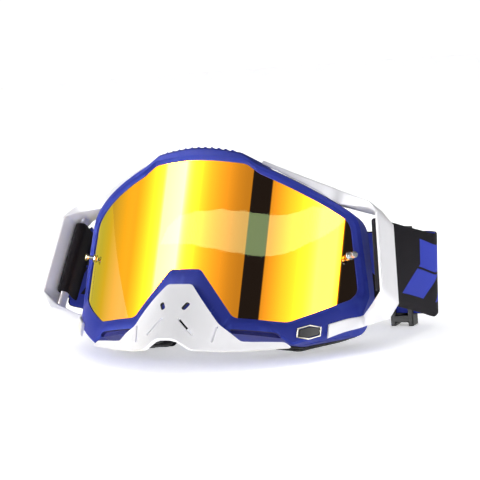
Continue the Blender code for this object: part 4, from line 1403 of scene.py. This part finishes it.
@dataclass
class SideArm:
    """White side arm from the brow over the temple to the jaw, with the strap's bar inside it."""

    side: Side
    outer_x: float = 102.6
    lean: float = 0.16
    plate_thickness: float = 2.2
    front_y: float = 29.5
    rear_y: float = 56.5
    top: float = 42.0
    bottom: float = -4.0
    middle: float = 20.0
    bar_front: float = 43.5
    bar_ends: tuple[float, float] = (-11.5, 47.6)
    bar_size: tuple[float, float] = (7.0, 2.4)
    brow: tuple[tuple[float, float, float, float], ...] = (
        (35.0, 9.0, 11.0, 2.4), (46.0, 13.0, 10.5, 3.2), (56.0, 18.0, 10.0, 4.2),
        (66.0, 25.0, 10.0, 6.2), (74.0, 31.5, 10.0, 8.2),
    )
    shoulder: tuple[Corner, ...] = ((6.6, 31.0, 6.4), (6.6, 54.0, 7.6), (8.1, 54.0, 4.4), (8.6, 33.0, 3.4))
    heel: tuple[Corner, ...] = ((5.4, 33.0, -8.5), (3.9, 54.5, -9.5), (6.9, 54.5, -7.5), (8.4, 35.0, -6.0))
    jaw: tuple[Corner, ...] = ((104.5, -12.6, -19.5), (93.0, -17.6, -25.0), (82.6, -22.9, -31.0))
    brow_gap: float = 0.8
    jaw_proud: tuple[float, float] = (4.95, 3.35)
    loop_space: float = 2.1
    steps: int = 6
    straight: tuple[int, ...] = (4, 5, 6, 7, 8, 9)
    edge_radius: float = 0.8

    def plate_x(self, height: float, inset: float = 0.0) -> float:
        """Outer face of the leaning plate at a height, moved inward."""
        return self.outer_x + self.lean * (self.middle - height) - inset

    def plate(self, height: float) -> Section:
        """Section of the plate at a height."""
        outer, inner = self.plate_x(height), self.plate_x(height, self.plate_thickness)
        return [Vector(p) for p in ((outer, self.front_y, height), (outer, self.rear_y, height),
                                    (inner, self.rear_y, height), (inner, self.front_y, height))]

    def wall_top(self, x: float, y: float) -> float:
        """Height of the frame's outer wall under the arm.

        Args:
            x: place to the side.
            y: place towards the face.

        Returns:
            The height.
        """
        along = math.asin(x / REST.lens_radius) * REST.lens_radius
        front, back = BAND.crossing(along), FLANGE.crossing(along)
        start, stop = REST.on_lens(along, 0.0, 3.0).y, REST.on_face(along, 0.0).y
        return front + (back - front) * min(max((y - start) / (stop - start), 0.0), 1.0)

    def brow_section(self, x: float, front: float, deep: float, tall: float) -> Section:
        """Section of the arm where it lies along the brow.

        Args:
            x: place to the side.
            front: its front edge.
            deep: how far it reaches back.
            tall: how thick it stands on the frame.

        Returns:
            The section.
        """
        near, far = (self.wall_top(x, y) + self.brow_gap for y in (front, front + deep))
        return [Vector(p) for p in ((x, front, near + tall), (x, front + deep, far + tall),
                                    (x, front + deep, far), (x, front, near))]

    def beyond(self, height: float, corners: Sequence[Corner]) -> Section:
        """Section past one end of the plate, from insets, depths and rises."""
        return [Vector((self.plate_x(height, inset), y, height + rise)) for inset, y, rise in corners]

    def jaw_section(self, along: float, top: float, bottom: float) -> Section:
        """Section of the arm where it ends on the jaw."""
        outer, inner = self.jaw_proud
        return [REST.on_lens(along, top, outer), REST.on_lens(along, bottom, outer),
                REST.on_lens(along, bottom, inner), REST.on_lens(along, top, inner)]

    def bar(self) -> list[Section]:
        """Sections of the upright bar that the strap loops round.

        Returns:
            The lower and the upper end's section.
        """
        width, thickness = self.bar_size
        sections = []
        for height in self.bar_ends:
            outer = self.plate_x(height, self.plate_thickness + self.loop_space + TOUCH)
            inner, rear = outer - thickness, self.bar_front + width
            sections.append([Vector(p) for p in ((outer, self.bar_front, height), (outer, rear, height),
                                                 (inner, rear, height), (inner, self.bar_front, height))])
        return sections

    def build(self) -> bpy.types.Object:
        """Build the arm and its bar, and dress them.

        Returns:
            The arm.
        """
        stations = [self.brow_section(*station) for station in self.brow]
        stations += [self.beyond(self.top, self.shoulder)]
        stations += [self.plate(height) for height in (self.top, self.middle, self.bottom)]
        stations += [self.beyond(self.bottom, self.heel)]
        stations += [self.jaw_section(*station) for station in self.jaw]
        sections = eased(stations, self.steps, self.straight)
        arm = [rounded(section, self.edge_radius) for section in sections]
        bar = [rounded(section, 1.0) for section in self.bar()]
        mesh = together([loft(arm, capped=True)[0], loft(bar, capped=True)[0]])
        if self.side is Side.RIGHT:
            bmesh.ops.scale(mesh, vec=(-1.0, 1.0, 1.0), verts=mesh.verts)
            bmesh.ops.reverse_faces(mesh, faces=mesh.faces)
        name = self.side.name.lower()
        thing = make_object(mesh, "side_arm_" + name, REST.matrix())
        soften(thing, 0.35, 50.0)
        return fit_out(thing, ARM_WHITE, Body.GOGGLES, "white_plastic", "outrigger_" + name)


# ---------------------------------------------------------------- strap


@dataclass
class Strap:
    """Woven elastic strap: looped and sewn round both bars, folded into one straight back run."""

    width: float = 49.0
    loop_width: float = 42.0
    thickness: float = 1.6
    mid_height: float = 20.6
    spread: float = 4.0
    plate_gap: float = 0.5
    tail: float = 6.0
    back_y: float = 118.0
    fold_radius: float = 7.0
    fold_x: float = 108.0
    fold_flare: float = 1.5
    fold_lead: float = 4.0
    bottom: float = -46.759
    back_x: tuple[float, ...] = (75.0, 50.0, 25.0, 0.0)
    band_half: float = 97.0
    band_pieces: int = 60
    across: int = 12
    steps: int = 10
    ripple: float = 0.35
    ripple_length: float = 23.0
    free_after: float = 20.0
    seam_half: float = 20.0
    stitch: float = 3.0
    thread_radius: float = 0.24
    arm: SideArm = field(default_factory=lambda: SideArm(Side.LEFT))

    def half_stations(self) -> list[Section]:
        """Stations of the left half, from the sewn tail to the middle of the back.

        Returns:
            Pairs of top and bottom points.
        """
        arm = self.arm
        outer = arm.plate_thickness + self.plate_gap + self.thickness / 2.0
        half_loop = (arm.bar_size[1] + self.thickness) / 2.0 + TOUCH
        inner = outer + 2.0 * half_loop
        sewn = outer + self.thickness + 0.15
        loop = [(sewn, arm.rear_y + self.tail), (sewn, arm.rear_y + 2.0), (inner, arm.bar_front + half_loop)]
        for step in range(1, 6):
            turn = math.pi * step / 6.0
            loop.append((outer + half_loop * (1.0 + math.cos(turn)),
                         arm.bar_front + TOUCH - half_loop * math.sin(turn)))
        loop += [(outer, arm.bar_front + half_loop), (outer, arm.rear_y), (outer, arm.rear_y + self.spread)]
        halves = [self.loop_width / 2.0] * (len(loop) - 1) + [self.width / 2.0]
        turn = Matrix.Rotation(REST.lean, 3, "X")
        stations = []
        for (inset, y), half in zip(loop, halves):
            heights = (self.mid_height + half, self.mid_height - half)
            stations.append([turn @ Vector((arm.plate_x(z, inset), y, z)) for z in heights])
        fold_y = self.back_y - self.fold_radius
        low, high = self.bottom, self.bottom + self.width
        lead_y = fold_y - self.fold_lead
        fold = [Vector((self.fold_x + self.fold_flare, lead_y, high)),
                Vector((self.fold_x - self.fold_flare, lead_y, low))]
        leave = stations[-1]
        stations += [[start.lerp(end, t) for start, end in zip(leave, fold)] for t in (0.33, 0.67, 1.0)]
        for step in range(1, 5):
            turn_part = math.pi / 2.0 * step / 4.0
            x = self.fold_x - self.fold_radius * (1.0 - math.cos(turn_part))
            y = fold_y + self.fold_radius * math.sin(turn_part)
            ease = self.fold_flare * (1.0 - step / 4.0)
            stations.append([Vector((x + ease, y, high)), Vector((x - ease, y, low))])
        back = [[Vector((x, self.back_y, high)), Vector((x, self.back_y, low))] for x in self.back_x]
        return stations + back

    def ribbon(self, stations: Sequence[Section], name: str, origin: float) -> bpy.types.Object:
        """Closed ribbon along stations of top and bottom points.

        Args:
            stations: pairs of top and bottom points, closely spaced.
            name: the piece's name.
            origin: distance along the ribbon at which its weave starts.

        Returns:
            The ribbon, with its weave attribute.
        """
        sections, weave, travelled = [], [], 0.0
        total = sum(
            (second[0] + second[1] - first[0] - first[1]).length / 2.0
            for first, second in zip(stations, stations[1:])
        )
        shares = [(1.0 - math.cos(math.pi * step / self.across)) / 2.0 for step in range(self.across + 1)]
        for i, (top, low) in enumerate(stations):
            before, after = stations[max(i - 1, 0)], stations[min(i + 1, len(stations) - 1)]
            if i:
                travelled += ((top + low) - (before[0] + before[1])).length / 2.0
            tangent = ((after[0] + after[1]) - (before[0] + before[1])).normalized()
            normal = tangent.cross(top - low).normalized()
            width = (top - low).length
            along = (min(travelled, total - travelled) - origin) * MM
            section, marks = [], []
            for face in (1.0, -1.0):
                for share in shares if face > 0.0 else reversed(shares[1:-1]):
                    edge = min(share, 1.0 - share) * width
                    thin = self.thickness / 2.0
                    half = thin * min(1.0, math.sqrt(max(edge / thin, 0.02)))
                    swell = noise.noise(Vector((travelled / self.ripple_length, share * 1.4, 4.0)))
                    wave = self.ripple * swell
                    section.append(low.lerp(top, share) + normal * (half * face + wave * self.hang(along)))
                    marks.append((along, share * width * MM, face))
            sections.append(section)
            weave += marks
        mesh, rows = loft(sections, capped=True)
        places = {vert: mark for vert, mark in zip((vert for row in rows for vert in row), weave)}
        mesh.verts.index_update()
        ordered = [places[vert] for vert in mesh.verts]
        thing = make_object(mesh, name, REST.matrix(leaning=False))
        attribute = thing.data.attributes.new("weave", "FLOAT_VECTOR", "POINT")
        attribute.data.foreach_set("vector", [value for mark in ordered for value in mark])
        thing.data.shade_smooth()
        thing.data.set_sharp_from_angle(angle=math.radians(60.0))
        return thing

    def hang(self, along: float) -> float:
        """How freely the ribbon may ripple: held at the arm, free behind it."""
        return min(max(along / (self.free_after * MM), 0.0), 1.0)

    def stations(self) -> list[Section]:
        """Stations of the whole strap, closely spaced.

        Returns:
            Pairs of top and bottom points.
        """
        half = eased(self.half_stations(), self.steps)
        flip = Vector((-1.0, 1.0, 1.0))
        return half + [[point * flip for point in station] for station in reversed(half[:-1])]

    def build(self) -> None:
        """Build the strap, its second layer and the stitches."""
        main_run = self.ribbon(self.stations(), "strap_web", 40.0)
        fit_out(main_run, STRAP_WEAVE, Body.GOGGLES, "strap_webbing", "strap")
        y = self.back_y - self.thickness - TOUCH
        count = self.band_pieces
        places = [self.band_half * (1.0 - 2.0 * step / count) for step in range(count + 1)]
        band = [[Vector((x, y, self.bottom + self.width)), Vector((x, y, self.bottom))] for x in places]
        calm = Strap(ripple=0.0)
        inner_run = calm.ribbon(band, "strap_second_layer", -40.0)
        fit_out(inner_run, STRAP_WEAVE, Body.GOGGLES, "strap_webbing", "strap_back_band")
        self.sew()

    def sew(self) -> None:
        """Sew the tails and the ends of the second layer with rows of lockstitch."""
        turn = Matrix.Rotation(REST.lean, 3, "X")
        arm, rods = self.arm, []
        outer = arm.plate_thickness + self.plate_gap
        foot, head = self.mid_height - self.seam_half, self.mid_height + self.seam_half
        for side in Side:
            flip = Vector((side.value, 1.0, 1.0))
            for y in (arm.rear_y + 2.5, arm.rear_y + 4.8):
                start, end = (turn @ Vector((arm.plate_x(z, outer), y, z)) for z in (foot, head))
                rods += self.stitches(start, end, flip)
            for x in (self.band_half - 2.0, self.band_half - 4.5):
                y = self.back_y - 1.5 * self.thickness - TOUCH
                low, high = self.bottom + 2.0, self.bottom + self.width - 2.0
                rods += self.stitches(Vector((x, y, low)), Vector((x, y, high)), flip)
        thing = make_object(together(rods), "strap_stitching", REST.matrix(leaning=False))
        thing.data.shade_smooth()
        fit_out(thing, THREAD_BLACK, Body.GOGGLES, "strap_webbing")

    def stitches(self, start: Vector, end: Vector, flip: Vector) -> list[bmesh.types.BMesh]:
        """One row of short threads between two points, on one side of the strap.

        Args:
            start: first point of the row.
            end: last point.
            flip: signs that mirror the row.

        Returns:
            One closed mesh for each stitch.
        """
        count = round((end - start).length / self.stitch)
        rods = []
        for step in range(count):
            first, last = start.lerp(end, (step + 0.15) / count), start.lerp(end, (step + 0.85) / count)
            rods.append(rod_mesh(self.thread_radius, first * flip, last * flip, 8))
        return rods


@dataclass
class Adjuster:
    """Moulded strap adjuster: two rails inside, one bar outside, a head and a footed base."""

    side: Side
    body: Body
    edge_round: float = 0.55

    def build(self) -> bpy.types.Object:
        """Round the moulding's edges and dress it.

        Returns:
            The adjuster.
        """
        name = self.side.name.lower()
        thing = refined("slider_" + name, "strap_adjuster_" + name, self.edge_round)
        thing.modifiers["soft_edges"].segments = 3
        return fit_out(thing, ACETAL_BLACK, self.body, "black_plastic", "slider_" + name)


@dataclass
class Trim:
    """The small fitted pieces: grip beads, and the blank badge with its bright rim."""

    bead_round: float = 0.6
    badge_round: float = 0.22

    def build(self) -> None:
        """Round and dress the beads, the badge and its rim."""
        for number in (1, 2, 3):
            bead = refined(f"grip_bead_{number}", f"silicone_bead_{number}", self.bead_round)
            bead.modifiers["soft_edges"].segments = 4
            fit_out(bead, SILICONE, Body.GOGGLES, "silicone", f"grip_bead_{number}")
        plate = refined("badge_plate", "badge_blank", self.badge_round)
        fit_out(plate, ACETAL_BLACK, Body.GOGGLES, "black_plastic", "badge_plate")
        rim = refined("badge_rim", "badge_bright_rim", self.badge_round)
        fit_out(rim, ZINC, Body.GOGGLES, "bright_metal", "badge_rim")


# ---------------------------------------------------------------- studio


@dataclass
class Studio:
    """White floor, soft boxes, graded cards that the mirror sees, and the camera."""

    card_radius: float = 3.0
    card_low: float = -2.5
    card_high: float = 1.25
    strip_colour: str = "E0FFB5"
    strip_glow: float = 6.2
    amber: str = "FFEA66"
    amber_from: float = -80.0
    amber_run: float = 25.0
    floor_radius: float = 2.6
    floor_glow: float = 0.34
    floor_lamp: tuple[float, float] = (1.35, 75.0)
    room_light: float = 0.16
    backdrop_light: float = 1.1
    strip: tuple[tuple[float, float, float], ...] = (
        (-180.0, 1.5, 1.5), (-50.0, 1.53, 1.53), (-46.0, 1.55, 1.59), (-38.0, 1.592, 1.657),
        (-25.0, 1.647, 1.726),
        (-8.0, 1.694, 1.79), (8.0, 1.72, 1.822), (21.0, 1.728, 1.83), (55.0, 1.738, 1.826),
        (82.0, 1.716, 1.747), (95.0, 1.71, 1.71), (180.0, 1.5, 1.5),
    )
    glow: tuple[tuple[float, float], ...] = (
        (-180.0, 0.8), (-130.0, 0.85), (-125.0, 0.85), (-107.0, 0.95), (-93.0, 1.1), (-80.0, 1.3),
        (-75.0, 1.35), (-66.0, 2.1), (-57.0, 3.5), (-52.0, 8.0), (-49.0, 55.0), (-34.0, 75.0),
        (-30.0, 15.0), (-27.0, 6.0), (-20.0, 2.6), (-14.0, 1.8), (-7.0, 1.3), (-1.0, 1.0), (5.0, 0.75),
        (11.5, 0.61), (14.6, 0.6), (15.0, 0.01), (28.0, 0.01), (29.0, 0.86), (36.0, 1.4), (42.0, 2.0),
        (50.0, 2.8), (57.0, 5.0), (65.0, 20.0), (78.0, 20.0), (82.0, 8.0), (84.0, 0.01), (106.0, 0.01),
        (110.0, 1.0), (180.0, 1.0),
    )
    soft_boxes: tuple[tuple[str, float, float, float, float], ...] = (
        ("key_front", -38.0, 6.0, 1.0, 18.0), ("key_side", 66.0, 10.0, 1.0, 8.0),
        ("fill_back", 180.0, 14.0, 1.2, 5.0),
    )
    soft_box_distance: float = 1.6
    soft_box_aim: float = 0.05
    camera_place: tuple[float, float, float] = (0.5043, -1.1174, 0.2352)
    camera_turn: tuple[float, float, float] = (81.958, 4.157, 23.069)
    camera_lens: float = 162.0

    def card_glow(self, azimuth: float) -> float:
        """Brightness of the cards, graded evenly between the stops.

        Args:
            azimuth: degrees round from straight ahead, towards the wearer's left.

        Returns:
            The brightness.
        """
        for (first, low), (last, high) in zip(self.glow, self.glow[1:]):
            if first <= azimuth <= last:
                share = (azimuth - first) / (last - first)
                return 2.0 ** (math.log2(low) * (1.0 - share) + math.log2(high) * share)
        return 1.0

    def strip_edge(self, azimuth: float, upper: bool) -> float:
        """Height of one edge of the strip card.

        Args:
            azimuth: degrees round from straight ahead, towards the wearer's left.
            upper: whether it is the upper edge.

        Returns:
            The height in metres.
        """
        column = 2 if upper else 1
        for first, last in zip(self.strip, self.strip[1:]):
            if first[0] <= azimuth <= last[0]:
                share = (azimuth - first[0]) / (last[0] - first[0])
                return first[column] * (1.0 - share) + last[column] * share
        return self.strip[0][column]

    def hang_cards(
        self, name: str, edge: Callable[[float, bool], float], tint: str, level: float = 0.0
    ) -> None:
        """Ring of cards, coaxial with the lens, that only reflections see.

        Args:
            name: the ring's name.
            edge: height of its lower or upper edge in a direction, in metres.
            tint: its colour.
            level: its brightness, or nought for the graded one.
        """
        mesh = bmesh.new()
        lower = bmesh.ops.create_circle(mesh, segments=720, radius=self.card_radius)["verts"]
        made = bmesh.ops.extrude_edge_only(mesh, edges=mesh.edges)["geom"]
        upper = [item for item in made if isinstance(item, bmesh.types.BMVert)]
        for verts, is_upper in ((lower, False), (upper, True)):
            for vert in verts:
                vert.co.z = edge(math.degrees(math.atan2(vert.co.x, -vert.co.y)), is_upper)
        glow = []
        for vert in mesh.verts:
            azimuth = math.degrees(math.atan2(vert.co.x, -vert.co.y))
            amber = min(max((self.amber_from - azimuth) / self.amber_run, 0.0), 1.0) if not level else 0.0
            shades = Vector(linear(tint)).lerp(Vector(linear(self.amber)), amber)
            glow += list(shades * (level or self.card_glow(azimuth)))[:3] + [1.0]
        thing = make_object(mesh, name, Matrix.Rotation(REST.lean, 4, "X"))
        attribute = thing.data.attributes.new("glow", "FLOAT_COLOR", "POINT")
        attribute.data.foreach_set("color", glow)
        material = bpy.data.materials.new(name)
        material.use_nodes = True
        tree = material.node_tree
        tree.nodes.clear()
        shade = add_node(tree, "ShaderNodeAttribute", attribute_name="glow")
        light = add_node(tree, "ShaderNodeEmission", {"Color": shade.outputs["Color"]})
        add_node(tree, "ShaderNodeOutputMaterial", {"Surface": light.outputs[0]})
        thing.data.materials.append(material)
        thing.visible_camera = thing.visible_diffuse = thing.visible_shadow = False
        thing.visible_transmission = thing.visible_volume_scatter = False

    def lay_floor(self) -> None:
        """Lay the round white floor."""
        mesh = bmesh.new()
        bmesh.ops.create_circle(mesh, cap_ends=True, segments=96, radius=self.floor_radius)
        thing = make_object(mesh, "floor_sweep")
        material = bpy.data.materials.new("white_sweep")
        material.use_nodes = True
        shader = material.node_tree.nodes["Principled BSDF"]
        shader.inputs["Base Color"].default_value = linear("FBFBFD")
        shader.inputs["Roughness"].default_value = 0.9
        shader.inputs["Emission Color"].default_value = (1.0, 1.0, 1.0, 1.0)
        shader.inputs["Emission Strength"].default_value = self.floor_glow
        thing.data.materials.append(material)
        thing.visible_glossy = False
        self.light_floor(thing)

    def light_floor(self, floor: bpy.types.Object) -> None:
        """Hang a broad overhead light that reaches the floor alone, for a soft shadow.

        Args:
            floor: the floor.
        """
        data = bpy.data.lights.new("floor_lamp", "SUN")
        data.energy, data.angle = self.floor_lamp[0], math.radians(self.floor_lamp[1])
        lamp = bpy.data.objects.new("floor_lamp", data)
        bpy.context.scene.collection.objects.link(lamp)
        receivers = bpy.data.collections.new("floor_lamp_receivers")
        receivers.objects.link(floor)
        lamp.light_linking.receiver_collection = receivers

    def light_room(self) -> None:
        """Pale room light, brighter to the eye than to the pieces."""
        world = bpy.data.worlds.new("studio_room")
        bpy.context.scene.world = world
        world.use_nodes = True
        tree = world.node_tree
        tree.nodes.clear()
        path = add_node(tree, "ShaderNodeLightPath")
        level = add_node(
            tree, "ShaderNodeMapRange",
            {"Value": path.outputs["Is Camera Ray"],
             "To Min": self.room_light, "To Max": self.backdrop_light},
        )
        light = add_node(
            tree, "ShaderNodeBackground", {"Color": (0.98, 0.99, 1.0, 1.0), "Strength": level.outputs[0]}
        )
        add_node(tree, "ShaderNodeOutputWorld", {"Surface": light.outputs[0]})

    def hang_soft_box(self, name: str, azimuth: float, elevation: float, size: float, watts: float) -> None:
        """One soft box that looks at the goggles.

        Args:
            name: its name.
            azimuth: degrees round from straight ahead, towards the wearer's left.
            elevation: degrees above the floor.
            size: its width in metres.
            watts: its power.
        """
        data = bpy.data.lights.new(name, "AREA")
        data.energy, data.size = watts, size
        lamp = bpy.data.objects.new(name, data)
        turn, rise = math.radians(azimuth), math.radians(elevation)
        away = Vector((math.sin(turn) * math.cos(rise), -math.cos(turn) * math.cos(rise), math.sin(rise)))
        lamp.location = away * self.soft_box_distance + Vector((0.0, 0.0, self.soft_box_aim))
        lamp.rotation_euler = away.to_track_quat("Z", "Y").to_euler()
        lamp.visible_camera = lamp.visible_glossy = False
        bpy.context.scene.collection.objects.link(lamp)

    def set_camera(self) -> None:
        """Camera at the standing viewing angle."""
        data = bpy.data.cameras.new("camera")
        data.lens, data.sensor_width = self.camera_lens, 36.0
        camera = bpy.data.objects.new("camera", data)
        camera.location = self.camera_place
        camera.rotation_euler = [math.radians(angle) for angle in self.camera_turn]
        bpy.context.scene.collection.objects.link(camera)
        bpy.context.scene.camera = camera

    def build(self) -> None:
        """Set up the whole studio."""
        self.hang_cards(
            "graded_cards", lambda azimuth, upper: self.card_high if upper else self.card_low, "FFFFFF"
        )
        self.hang_cards("strip_card", self.strip_edge, self.strip_colour, self.strip_glow)
        self.lay_floor()
        self.light_room()
        for box in self.soft_boxes:
            self.hang_soft_box(*box)
        self.set_camera()
        bpy.context.scene.view_settings.view_transform = "Standard"


def main() -> None:
    """Build every sub-assembly in order, then the studio."""
    logging.basicConfig(level=logging.INFO, format="%(name)s %(message)s")
    GoggleFrame().build()
    lens = MirrorLens()
    lens.build()
    lens.fit_posts()
    VentFilters().build()
    for layer in face_foam():
        layer.build()
    NoseGuard().build()
    for side in Side:
        SideArm(side).build()
    Strap().build()
    Adjuster(Side.LEFT, Body.SLIDER_LEFT).build()
    Adjuster(Side.RIGHT, Body.SLIDER_RIGHT).build()
    Trim().build()
    Studio().build()


if __name__ == "__main__":
    main()
